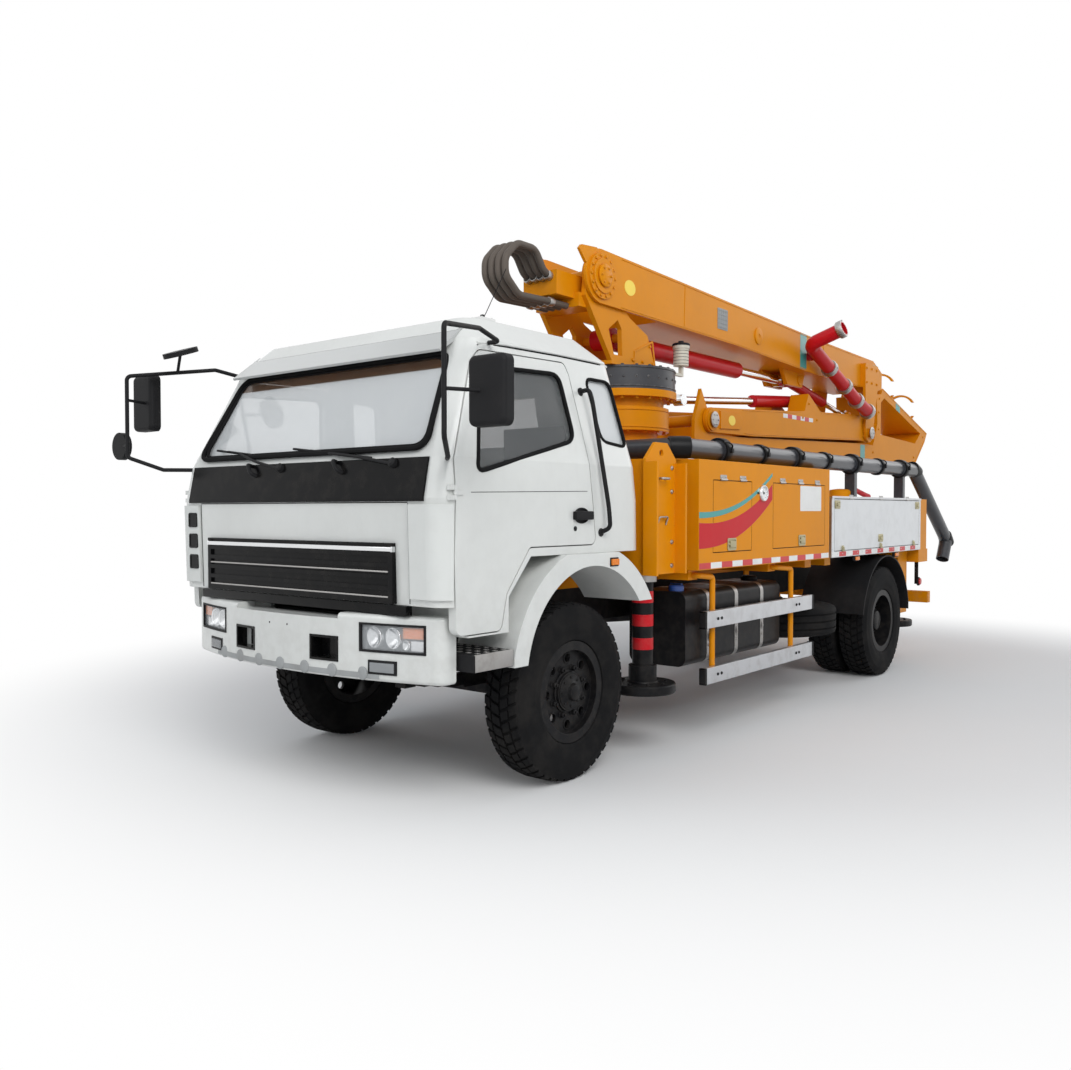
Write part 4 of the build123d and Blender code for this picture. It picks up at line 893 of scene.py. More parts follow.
class PUMPTRUCK_OT_cab_fittings(Operator):
    """Door handles, grab handles, markers, roof fittings and steps"""

    bl_idname = "pump_truck.cab_fittings"
    bl_label = "Cab fittings"

    def execute(self, context):
        self.handles()
        self.side_markers()
        mould = Mould()
        mould.lathe((-300, 700, 2490), (-0.6, 0.5, 0.5),
                    [(0, 0), (45, 0), (66, 40), (66, 62), (60, 70), (0, 72)], 28)
        mould.piece("roof_work_lamp", "grey_plastic")
        mould = Mould()
        mould.block((380, 500), (700, 800), (2546, 2590), 10)
        for x in (400, 480):
            for y in (715, 785):
                mould.bolt((x, y, 2589), UP, 6, 5)
        mould.piece("roof_marker_base", "white_paint")
        mould = Mould()
        mould.sweep([(430, 745, 2588), (420, 760, 2620), (330, 830, 2870)], 2.5, 6)
        mould.lathe((430, 745, 2586), UP, [(0, 0), (16, 0), (12, 26), (0, 30)], 16)
        mould.piece("antenna", "black_plastic")
        mould = Mould()
        for x in (690, 755, 820, 885):
            for y in range(820, 1121, 60):
                mould.lathe((x, y, 834), UP, [(16, 0), (16, 3), (10, 3), (10, 0)], 16)
        mould.block((664, 946), (1152, 1164), (752, 838), 3)
        mould.mirrored().piece("step_treads", "steel")
        return {"FINISHED"}

    def handles(self):
        for side, s in SIDES:
            mould = Mould()
            mould.lathe((35, 1127, 1512), ACROSS, [(0, 0), (72, 0), (72, 6), (62, 10), (56, 4), (0, 4)], 36)
            for v in mould.mesh.verts:
                v.co.z = HANDLE_Z + (v.co.z - HANDLE_Z) * 0.62
            mould.block((-48, 118), (1130, 1158), (1488, 1537), 10)
            mould.lathe((95, 1128, 1440), ACROSS, disc(14, 5), 20)
            mould.moved_to(s).piece(f"door_handle_{side}", "black_plastic", f"door_{side}")
        mould = Mould()
        mould.sweep([on_side(-61, 2214, -4), (-61, 1112, 2225), (-72, 1128, 2150), (-160, 1180, 1560),
                     (-168, 1185, 1440), on_side(-150, 1415, -4)], 13, 12, 55)
        for x, z in ((-61, 2214), (-150, 1415)):
            mould.lathe(on_side(x, z, -3), ACROSS, cap(24, 8, 14, 12), 20)
        mould.mirrored().piece("grab_handles", "black_plastic")

    def side_markers(self):
        mould = Mould()
        mould.block((-262, -194), (1166, 1186), (1226, 1262), 6)
        for x in (-247, -228, -209):
            mould.block((x - 3, x + 3), (1184, 1188), (1230, 1258), 1.5)
        mould.mirrored().piece("side_markers", "amber_lens")
        mould = Mould()
        mould.block((-270, -186), (1164, 1174), (1218, 1270), 4)
        mould.mirrored().piece("side_marker_bases", "black_plastic")


class PUMPTRUCK_OT_cab_front(Operator):
    """Wipers, grips, grille strips, seams and the black gap above the bumper"""

    bl_idname = "pump_truck.cab_front"
    bl_label = "Cab front"

    def execute(self, context):
        self.wipers()
        mould = Mould()
        for y in (-395, 353):
            mould.sweep([on_front(y - 30, 1795, 10), on_front(y - 20, 1800, 42), on_front(y + 25, 1752, 48),
                         on_front(y + 35, 1735, 10)], 11, 10, 25)
        mould.piece("cowl_grips", "black_plastic")
        mould = Mould()
        mould.block((1136, 1156), (-795, 795), (1338, 1360), 3)
        for y in (-797, 797):
            mould.block((1134, 1158), (y - 6, y + 6), (1335, 1363), 3)
        mould.piece("grille_strip", "chrome")
        mould = Mould()
        for z in (1238, 1113):
            mould.block((1148, 1154), (-768, 768), (z - 4, z + 4), 1.5)
        mould.piece("grille_lines", "steel")
        mould = Mould()
        mould.block((1096, 1138), (-880, 880), (1024, 1074), 4)
        for y in (-893, 893):
            mould.sweep([on_front(y, z, 0.5) for z in (1085, 1250, 1400, 1575)], 2.5, 6)
        mould.sweep([on_front(y, 1580, 0.5) for y in range(-890, 891, 178)], 2.5, 6)
        mould.piece("front_gaps", "gloss_black")
        mould = Mould()
        for z in (1190, 1315, 1440):
            face = cab_at(z)[1] + 14
            mould.rim((-1008, -918, z, z + 86), 12, 9, 8, face - 4, face + 6, "x")
            mould.plate(soft_rectangle(-1001, -925, z + 8, z + 78, 8), face - 4, face + 2.5, "x")
        mould.piece("corner_slots", "gloss_black")
        return {"FINISHED"}

    def wipers(self):
        mould = Mould()
        for pivot, (y0, z0), (y1, z1) in ((-140, (-830, 1900), (-300, 1842)),
                                          (770, (-80, 1880), (600, 1806))):
            mould.lathe(on_front(pivot, 1772, 8), (0.9, 0, 0.43),
                        [(0, 0), (26, 0), (24, 22), (14, 30), (0, 30)], 20)
            y, z = (y0 + y1) / 2, (z0 + z1) / 2
            mould.sweep([on_front(pivot, 1772, 30), on_front((pivot + y) / 2, 1815, 40),
                         on_front(y, z, 26)], 8, 8, 60)
            blade = [on_front(y0 + (y1 - y0) * t, z0 + (z1 - z0) * t, 14) for t in (0, 0.25, 0.5, 0.75, 1)]
            mould.sweep(blade, 7, 6)
            mould.sweep([(x + 9, y, z + 4) for x, y, z in blade[1:4]], 5, 6)
        mould.piece("wipers", "black_plastic")


BUMPER_RADIUS, BUMPER_CENTRE = 3220.1, -1992.1
# Parts of the bumper's lamps and openings: two places across, two heights, outer and inner
# depths from the bumper's face, and how soft the edges are.
SLABS = (
    ("lamp_frames", 581, 962, 832, 843, 4, -30, 0), ("lamp_frames", 581, 962, 968, 979, 4, -30, 0),
    ("lamp_frames", 581, 592, 832, 979, 4, -30, 0), ("lamp_frames", 951, 962, 832, 979, 4, -30, 0),
    ("lamp_backs", 596, 947, 847, 964, -58, -64, 0), ("lamp_bowls", 872, 946, 848, 898, -12, -40, 0),
    ("lamp_amber", 828, 946, 908, 962, -11, -40, 0), ("lamp_frames", 636, 804, 722, 794, 5, -20, 3),
    ("fog_lenses", 650, 790, 734, 782, 9, -2, 3), ("tow_rims", 242, 443, 767, 779, 4, -74, 0),
    ("tow_rims", 242, 443, 886, 898, 4, -74, 0), ("tow_rims", 242, 254, 767, 898, 4, -74, 0),
    ("tow_rims", 431, 443, 767, 898, 4, -74, 0), ("tow_rims", 256, 429, 781, 884, -66, -72, 0),
)
# Each lamp's bowl: place across, height, radius, depth and how far back it stands.
BOWLS = ((654, 906, 50, 34, 16), (766, 906, 50, 34, 16), (842, 874, 22, 16, 14))


def bumper_x(y):
    return BUMPER_CENTRE + math.sqrt(BUMPER_RADIUS ** 2 - y * y)


def bumper_band(y0, y1, outer, inner, steps=6):
    """A plan outline that follows the bumper's curved front."""
    ys = [y0 + (y1 - y0) * k / steps for k in range(steps + 1)]
    return [(bumper_x(y) + outer, y) for y in ys] + [(bumper_x(y) + inner, y) for y in reversed(ys)]


class PUMPTRUCK_OT_lamps(Operator):
    """Headlamps, fog lamps, tow openings and the bumper's skirt"""

    bl_idname = "pump_truck.lamps"
    bl_label = "Lamps"

    def execute(self, context):
        finishes = {"lamp_frames": "black_plastic", "lamp_backs": "grey_plastic", "lamp_bowls": "chrome",
                    "lamp_amber": "amber_lens", "fog_lenses": "lamp_lens", "tow_rims": "gloss_black",
                    "skirt": "grey_plastic"}
        parts = {key: Mould() for key in finishes}
        for s in (1, -1):
            for key, y0, y1, z0, z1, outer, inner, soft in SLABS:
                outline = [(x, s * y) for x, y in bumper_band(y0, y1, outer, inner)]
                parts[key].plate(outline, z0, z1, "z", soft)
            for y, z, radius, depth, back in BOWLS:
                parts["lamp_bowls"].lathe(
                    (bumper_x(y) - back, s * y, z), ALONG,
                    [(0, -depth), (radius * 0.5, -depth * 0.8), (radius, 0), (radius + 4, 0),
                     (radius + 4, -depth - 4), (0, -depth - 4)], 28)
        parts["skirt"].plate(bumper_band(-700, 700, 3, -20, 24), 698, 726, "z", 2)
        for y in range(-600, 601, 200):
            parts["skirt"].lathe((bumper_x(y) - 3, y, 722), ALONG, cap(34, 7, 28, 9), 20)
        for y in (-95, 60):
            parts["tow_rims"].lathe((bumper_x(y) - 1, y, 935), ALONG, disc(5, 2), 10)
        for key, finish in finishes.items():
            parts[key].piece(key, finish)
        return {"FINISHED"}


# Body
BODY_HALF = 1200.0
LEG_X = -820
BOX_DOORS = ((-1904, -1339, 1257, 1746), (-3200, -2242, 1257, 1746), (-5560, -3400, 1200, 1640))
WIDE_DOOR = 700


class PUMPTRUCK_OT_side_boxes(Operator):
    """Door seals, latches, hinges, the gauge, the blank sheet, tape and the painted sweeps"""

    bl_idname = "pump_truck.side_boxes"
    bl_label = "Side boxes"

    def execute(self, context):
        y = BODY_HALF
        seals, plates, hinges = Mould(), Mould(), Mould()
        for x0, x1, z0, z1 in BOX_DOORS:
            seals.rim((x0 + 1, x1 - 1, z0 + 1, z1 - 1), 14, 4, 10, y - 4, y - 1)
            count = 3 if x1 - x0 > WIDE_DOOR else 2
            for k in range(count):
                x = x0 + (x1 - x0) * (k + 0.5) / count
                hinges.plate(soft_rectangle(x - 45, x + 45, z1 + 2, z1 + 34, 6), y - 0.5, y + 3)
                hinges.lathe((x - 45, y + 5, z1 + 2), ALONG, disc(7, 90), 14)
                for dx in (-30, 30):
                    hinges.bolt((x + dx, y + 3, z1 + 20), ACROSS, 5, 5)
        for x, z in ((-1600, 1310), (-2750, 1310)):
            plates.rim((x - 62, x + 62, z - 42, z + 42), 14, 12, 9, y - 0.5, y + 6)
            plates.plate(soft_rectangle(x - 50, x + 50, z - 30, z + 30, 9), y - 2, y + 1)
            plates.block((x - 44, x + 30), (y + 1, y + 11), (z - 22, z + 22), 4)
            plates.lathe((x + 39, y, z), ACROSS, cap(8, 8, 6, 10), 16)
        seals.mirrored().piece("box_seals", "rubber")
        hinges.mirrored().piece("box_hinges", "steel")
        plates.mirrored().piece("box_latches", "brass_latch")
        mould = Mould()
        mould.plate(soft_rectangle(-3120, -2720, 1536, 1731, 10), y - 0.5, y + 1.5)
        mould.mirrored().piece("blank_sheets", "white_tape")
        self.tape(y)
        self.sweeps(y)
        self.gauge(y, -2071, 1665)
        return {"FINISHED"}

    def tape(self, y):
        """Lengths of tape along the lower edges, white and red by turns."""
        moulds = [Mould(), Mould()]
        for start, end in ((-3280, -1160), (-5600, -3355)):
            count = round((end - start) / 150)
            wide = (end - start) / count
            for k in range(count):
                x = start + wide * k
                moulds[k % 2].plate(rectangle(x, x + wide, 1156, 1196), y - 0.5, y + 0.8)
        for colour, mould in (("red", moulds[1]), ("white", moulds[0])):
            mould.mirrored().piece(f"{colour}_tape", f"{colour}_tape")

    def sweeps(self, y):
        """A wide band that rises towards the rear and a thin one above it."""
        for name, finish, low, high, lift in (("sweep_wide", "red_paint", 1290, 1460, 330),
                                              ("sweep_thin", "band_paint", 1490, 1530, 300)):
            mould = Mould()
            steps = [k / 16 for k in range(17)]
            under = [(-1155 - 1075 * t, low + lift * t ** 2.2) for t in steps]
            over = [(-1155 - 1075 * t, high + lift * t ** 2.2 - (high - low) * 0.35 * t) for t in steps]
            mould.plate(under + over[::-1], y - 0.3, y + 0.6)
            mould.mirrored().piece(name, finish, slot="pipe_red")

    def gauge(self, y, x, z):
        rim, face, needle = Mould(), Mould(), Mould()
        rim.lathe((x, y, z), ACROSS, [(52, -1), (60, -1), (60, 12), (55, 20), (50, 20), (50, 8)], 40)
        face.lathe((x, y, z), ACROSS, [(0, 2), (51, 2), (51, 10), (47, 10), (46, 9), (0, 9)], 40)
        for k in range(11):
            t = math.radians(-45 + 27 * k)
            needle.plate([(x + r * math.cos(t) + w * math.sin(t), z + r * math.sin(t) - w * math.cos(t))
                          for r, w in ((38, -1.2), (46, -1.2), (46, 1.2), (38, 1.2))], y + 9, y + 10)
        needle.plate(((x - 6, z - 6), (x + 4, z - 8), (x + 26, z + 24)), y + 10, y + 12)
        needle.lathe((x, y + 9, z), ACROSS, disc(7, 5), 20)
        for dx in (-75, 75):
            needle.bolt((x + dx, y, z), ACROSS, 7, 6)
        rim.piece("gauge_rim", "chrome")
        face.piece("gauge_face", "gauge_face")
        needle.piece("gauge_needle", "black_plastic")


class PUMPTRUCK_OT_toolboxes(Operator):
    """Latch plates, clasps, rivets and a lid rim on the toolboxes, side lamps and stowed parts"""

    bl_idname = "pump_truck.toolboxes"
    bl_label = "Toolboxes"

    def execute(self, context):
        y = BODY_HALF
        latches, beads, rim = Mould(), Mould(), Mould()
        for x, z in ((-3460, 1590), (-5500, 1590), (-4482, 1290)):
            latches.plate(soft_rectangle(x - 55, x + 55, z - 36, z + 36, 12), y - 0.5, y + 4)
            latches.rim((x - 46, x + 46, z - 28, z + 28), 10, 8, 7, y + 3, y + 8)
            latches.block((x - 30, x + 18), (y + 3, y + 13), (z - 13, z + 13), 4)
            latches.lathe((x + 28, y + 4, z), ACROSS, [(0, 0), (6, 0), (6, 6), (0, 7)], 14)
        for x in (-3581, -4482, -5391):
            latches.block((x - 16, x + 16), (y - 0.5, y + 7), (1196, 1246), 3)
            latches.sweep([(x - 11, y + 7, 1228), (x - 11, y + 16, 1206), (x, y + 18, 1200),
                           (x + 11, y + 16, 1206), (x + 11, y + 7, 1228)], 3, 8, 6)
            latches.lathe((x - 14, y + 9, 1232), ALONG, disc(5, 28), 12)
        rivets = [(x, z) for x in range(-5595, -3350, 112) for z in (1178, 1648)]
        for x, z in rivets + [(x, z) for z in range(1225, 1640, 58) for x in (-5592, -3362)]:
            beads.lathe((x, y - 0.5, z), ACROSS, [(0, 0), (6, 0), (5, 3), (0, 4)], 12)
        latches.mirrored().piece("toolbox_latches", "brass_latch")
        beads.mirrored().piece("toolbox_beads", "sheet_aluminium")
        rim.block((-5612, -3343), (1196, 1206), (1640, 1660), 3)
        rim.block((-5612, -3343), (742, 752), (1650, 1660), 3)
        rim.mirrored().piece("toolbox_rims", "rail_aluminium")
        lamp, base, stowed, hose = (Mould() for _ in range(4))
        for x in (-3900, -4900):
            lamp.block((x - 42, x + 42), (y - 0.5, y + 12), (1110, 1140), 4)
            base.block((x - 50, x + 50), (y - 20, y + 4), (1102, 1148), 4)
        base.mirrored().piece("side_lamp_bases", "black_plastic")
        lamp.mirrored().piece("side_lamps", "amber_lens")
        stowed.lathe((-4120, 960, 1655), UP,
                     [(0, 0), (95, 0), (100, 12), (100, 55), (88, 72), (30, 80), (0, 80)], 36)
        hose.sweep([(-4480, 905, 1680), (-4480, 905, 1735), (-4620, 905, 1735), (-4800, 930, 1690),
                    (-4900, 930, 1676)], 24, 14, 40)
        hose.lathe((-4480, 905, 1652), UP, cap(52, 26, 30, 34), 24)
        stowed.piece("stowed_ball_box", "orange_paint")
        hose.piece("stowed_hose_end", "red_paint")
        return {"FINISHED"}


class PUMPTRUCK_OT_posts(Operator):
    """Bolts, grips, stripes and foot rims on the legs and jacks"""

    bl_idname = "pump_truck.posts"
    bl_label = "Legs and jacks"

    def execute(self, context):
        for side, s in SIDES:
            leg = Mould()
            for z in (1190, 1340, 1660, 1810):
                for x in (-945, -695):
                    leg.bolt((x, s * 1120, z), (0, s, 0), 12, 10)
            for wide, y0, z0, y1, z1, radius, sides, bend in ((40, 1118, 1740, 1160, 1740, 8, 10, 22),
                                                              (50, 1122, 1450, 1140, 1500, 6, 8, 14)):
                leg.sweep([(LEG_X + dx, s * y, z) for dx, y, z in (
                    (-wide, y0, z0), (-wide, y1, z1), (wide, y1, z1), (wide, y0, z0))], radius, sides, bend)
            leg.piece(f"leg_fittings_{side}", "steel", f"outrigger_{side}")
            self.foot(side, "front", LEG_X, s * 985)
            self.stripes(side, LEG_X, s * 985)
            self.foot(side, "rear", -5440, s * 960)
        return {"FINISHED"}

    def foot(self, side, end, x, y):
        foot = Mould()
        foot.lathe((x, y, 452), UP, [(68, -1), (101, -1), (97, 9), (73, 16), (68, 16)], 36)
        for a, b in circle(8, 150):
            foot.bolt((x + a, y + b, 450), UP, 11, 9)
        foot.lathe((x, y, 390), UP, [(207, 4), (211, 8), (211, 52), (207, 56), (204, 56), (204, 4)], 40)
        foot.piece(f"{end}_foot_fittings_{side}", "black_paint", f"{end}_jack_{side}", "jack_steel")

    def stripes(self, side, x, y):
        rings, collar = Mould(), Mould()
        tall = 445 / 6
        for k in range(3):
            rings.lathe((x, y, 660 + 2 * tall * k), UP, sleeve(67.3, 68.2, tall), 36)
        rings.piece(f"jack_bands_{side}", "red_paint", f"front_jack_{side}", "cylinder_red")
        collar.lathe((x, y, 1090), UP, sleeve(75, 89, 44), 36)
        collar.piece(f"jack_collar_{side}", "steel", f"outrigger_{side}")


class PUMPTRUCK_OT_tanks(Operator):
    """Straps, caps and drain plugs on the tanks, and bolts on the guards"""

    bl_idname = "pump_truck.tanks"
    bl_label = "Tanks"

    def execute(self, context):
        straps, caps, blue, guards = (Mould() for _ in range(4))
        for s, y0, y1, z0, z1, bend, xs in ((1, 640, 1080, 500, 1000, 60, (-1500, -1905, -2310)),
                                            (-1, -1060, -640, 520, 980, 40, (-1500, -1825, -2150))):
            edge = max(y0, y1, key=abs)
            for x in xs:
                straps.rim((y0 - 3, y1 + 3, z0 - 3, z1 + 3), bend + 3, 7, bend - 4, x - 24, x + 24, "x")
                straps.bolt((x, edge + s * 3, z0 + 120), (0, s, 0), 9, 8)
                straps.sweep([(x, edge + s * out, z0 + up) for out, up in ((3, 150), (12, 180), (3, 210))],
                             6, 8, 12)
        straps.piece("tank_straps", "steel")
        blue.lathe((-1273, 960, 998), UP, cap(52, 34, 46, 42), 28)
        blue.block((-1281, -1265), (915, 1005), (1036, 1052), 4)
        blue.piece("tank_cap", "blue_paint")
        for x, y, z in ((-2500, 880, 998), (-1400, -850, 978)):
            caps.lathe((x, y, z), UP, cap(60, 30, 50, 40), 32)
            for a, b in circle(6, 54):
                caps.lathe((x + a, y + b, z + 4), UP, disc(9, 22), 10)
        for x in (-1700, -2100):
            caps.lathe((x, 860, 500), (0, 0, -1), disc(24, 14, -2), 6)
        caps.piece("tank_fittings", "black_plastic")
        for z0, z1 in ((758, 869), (386, 493)):
            for x in (-2998, -1269):
                guards.plate(soft_rectangle(x - 12, x + 12, z0 - 2, z1 + 2, 6), 1146, 1194, "y", 3)
            for x in (-1461, -2711):
                for dx in (-26, 26):
                    guards.bolt((x + dx, 1189.5, (z0 + z1) / 2), ACROSS, 9, 7)
        guards.mirrored().piece("guard_fittings", "black_plastic")
        return {"FINISHED"}


class PUMPTRUCK_OT_rear(Operator):
    """Tail lamps, the blank plate, hopper levers, motor bolts and black hoses"""

    bl_idname = "pump_truck.rear"
    bl_label = "Rear"

    def execute(self, context):
        red, amber, clear_lens, bases, plate, reflect = (Mould() for _ in range(6))
        for lens, y0, y1 in ((red, 790, 900), (amber, 905, 970), (clear_lens, 975, 1040)):
            lens.block((-6356, -6344), (y0, y1), (582, 658), 5)
        bases.ring(soft_rectangle(778, 1052, 568, 672, 14), soft_rectangle(788, 1042, 579, 661, 10),
                   -6358, -6340, "x")
        bases.block((-5775, -5760), (1096, 1132), (790, 1024), 3)
        bases.lathe((-5767, 1132, 818), ACROSS, [(0, -4), (44, -4), (44, 10), (36, 16), (0, 16)], 28)
        red.lathe((-5767, 1146, 818), ACROSS, [(0, 0), (34, 0), (32, 12), (0, 16)], 28)
        for x in (-6352, -6346):
            reflect.block((x, x + 4), (480, 640), (590, 650), 2)
        for each, name, finish in ((red, "tail_lamps", "red_lens"),
                                   (amber, "rear_turn_lamps", "amber_lens"),
                                   (clear_lens, "reversing_lamps", "lamp_lens"),
                                   (bases, "tail_lamp_frames", "black_plastic")):
            each.mirrored().piece(name, finish)
        plate.plate(soft_rectangle(-260, 260, 565, 675, 12), -6336, -6329, "x")
        for y in (-225, 225):
            plate.bolt((-6335, y, 620), (-1, 0, 0), 7, 5)
        plate.piece("blank_rear_plate", "white_tape")
        reflect.mirrored().piece("rear_reflectors", "red_tape", slot="lamp_clear")
        self.levers()
        self.hoses()
        return {"FINISHED"}

    def levers(self):
        levers = Mould()
        for s in (-1, 1):
            for a, b in circle(6, 72):
                levers.bolt((-6560 + a, s * 639, 1060 + b), (0, s, 0), 10, 9)
            levers.lathe((-6560, s * 639, 1060), (0, s, 0), cap(46, 30, 38, 40), 30)
        for k, x in enumerate((-6590, -6640, -6690)):
            rise = 8 * k
            levers.sweep([(x, 470, 930), (x, 560, 930), (x - 6, 600, 960 + rise),
                          (x - 8, 612, 1010 + rise)], 7, 8, 18)
            levers.lathe((x - 8, 612, 1004 + rise), UP, [(0, 0), (12, 4), (14, 16), (10, 26), (0, 29)], 16)
        levers.block((-6715, -6560), (440, 480), (905, 955), 5)
        levers.piece("hopper_levers", "black_paint", slot="plastic_black")

    def hoses(self):
        hoses = Mould()
        for y, drop in ((-190, 0), (-110, 40), (120, 20), (205, 60)):
            hoses.sweep([(-5935, y, 1300), (-6060, y * 1.3, 1320 - drop), (-6170, y * 1.7, 1120 - drop),
                         (-6245, y * 1.4, 1020 - drop / 2), (-6300, y * 1.05, 1012)], 17, 12, 110)
        for s in (-1, 1):
            hoses.sweep([(-5900, s * 280, 1120), (-6060, s * 420, 1060), (-6330, s * 560, 900),
                         (-6480, s * 600, 985), (-6540, s * 590, 1040)], 15, 12, 120)
        hoses.piece("rear_hoses", "hose_cover")


# Column and boom
COLUMN_X = -2000
PIPE_Y, PIPE_Z = 1050, 1955
ROOT_X, ROOT_Z = -1390, 3235
BOOM_HALF, ARM_2_HALF, ARM_3_HALF = 260.0, 280.0, 246.0
BOOM_TOP = ((-1390, 3430), (-2550, 3395), (-5400, 3300), (-6850, 3270))
BOOM_LOW = ((-1390, 3040), (-3500, 3010), (-5230, 2940), (-6950, 2930))
# Weld ridges of an arm, each with its bend and its points, and its bolts
ARM_WELDS = (
    ("arm_3", ARM_3_HALF,
     ((60, (-3650, 2134), (-6760, 2134), (-8390, 2154), (-8750, 2445)), (0, (-7225, 2972), (-8840, 2554))),
     ((-7080, 2500), (-7080, 2700), (-7100, 2860), (-8700, 2500), (-6900, 2220), (-8350, 2220))),
    ("arm_2", ARM_2_HALF,
     ((40, (-3600, 2236), (-3780, 2236), (-6430, 2346)), (0, (-3560, 2440), (-4700, 2504)),
      (0, (-5320, 2546), (-6350, 2592))),
     ((-5200, 2470), (-5000, 2620), (-4850, 2470), (-6480, 2520), (-6480, 2380))),
)


def edge_z(points, x):
    """The height of a line of (x, z) points, given from front to rear, at x."""
    for (x0, z0), (x1, z1) in zip(points, points[1:]):
        if x >= x1:
            return z0 + (z1 - z0) * (x0 - x) / (x0 - x1)
    return points[-1][1]


class PUMPTRUCK_OT_column(Operator):
    """Flange bolts, pin caps, edge rings, plates and hose ends on the column and turret"""

    bl_idname = "pump_truck.column"
    bl_label = "Column"

    def execute(self, context):
        fixed, moving = Mould(), Mould()
        for a, b in circle(24, 415, 0.5):
            fixed.bolt((COLUMN_X + a, b, 2401), (0, 0, -1), 15, 18)
        for a, b in circle(24, 418, 0.5):
            moving.bolt((COLUMN_X + a, b, 2629.5), UP, 13, 12)
        for a, b in circle(16, 360):
            fixed.bolt((COLUMN_X + a, b, 2151), (0, 0, -1), 13, 14)
        for z in (2170, 2300):
            fixed.lathe((COLUMN_X, 0, z), UP, [(389, 0), (396, 2), (396, 10), (389, 12)], 64)
        for x in (-1600, -1800, -2200, -2400):
            for s in (-1, 1):
                fixed.bolt((x, s * 439, 1890), (0, s, 0), 15, 14)
                fixed.bolt((x, s * 439, 1720), (0, s, 0), 15, 14)
        for z in (2470, 2610):
            moving.lathe((COLUMN_X, 0, z), UP, [(439, 0), (446, 3), (446, 11), (439, 14)], 72)
        for a, b in circle(28, 439.5):
            moving.bolt((COLUMN_X + a, b, 2547), (a, b, 0), 9, 8)
        fixed.piece("column_bolts", "orange_paint")
        moving.piece("slew_drum_fittings", "drum_paint", "column")
        self.turret()
        return {"FINISHED"}

    def turret(self):
        plates, caps, ends, lid = (Mould() for _ in range(4))
        for s in (-1, 1):
            for x, z in ((-2120, 2690), (-1980, 2690), (-1840, 2690), (-2080, 2820), (-1480, 3060),
                         (-1340, 3060)):
                plates.bolt((x, s * 231.5, z), (0, s, 0), 13, 11)
            plates.ring(((-2170, 2640), (-1860, 2640), (-1860, 2760), (-2120, 2870)),
                        ((-2150, 2654), (-1874, 2654), (-1874, 2752), (-2112, 2850)), s * 231, s * 238)
            caps.lathe((ROOT_X, s * 289, ROOT_Z), (0, s, 0),
                       [(0, 0), (78, 0), (82, 5), (82, 12), (74, 17), (0, 17)], 44)
            for a, b in circle(6, 58):
                caps.bolt((ROOT_X + a, s * 306, ROOT_Z + b), (0, s, 0), 9, 8)
        plates.piece("turret_plates", "orange_paint", "column")
        caps.piece("root_pin_caps", "orange_paint", "column")
        for y in (-90, -30, 30, 90):
            for x, z, rise in ((-985, 3190, 0.15), (-1005, 3010, 0)):
                ends.lathe((x, y, z), (1, 0, rise),
                           [(24, -26), (30, -26), (33, -18), (33, 18), (29, 26), (24, 26)], 20)
        ends.piece("hose_ends", "steel", "column", "rod_chrome")
        lid.lathe((-2545, 240, 2884), UP,
                  [(0, 0), (73, 0), (73, 12), (66, 20), (24, 24), (22, 40), (0, 42)], 36)
        for k in range(5):
            lid.lathe((-2545, 240, 2735 + 26 * k), UP, [(62, 0), (63.5, 1), (63.5, 3), (62, 4)], 40)
        lid.piece("grease_pot_cap", "black_plastic", "column")


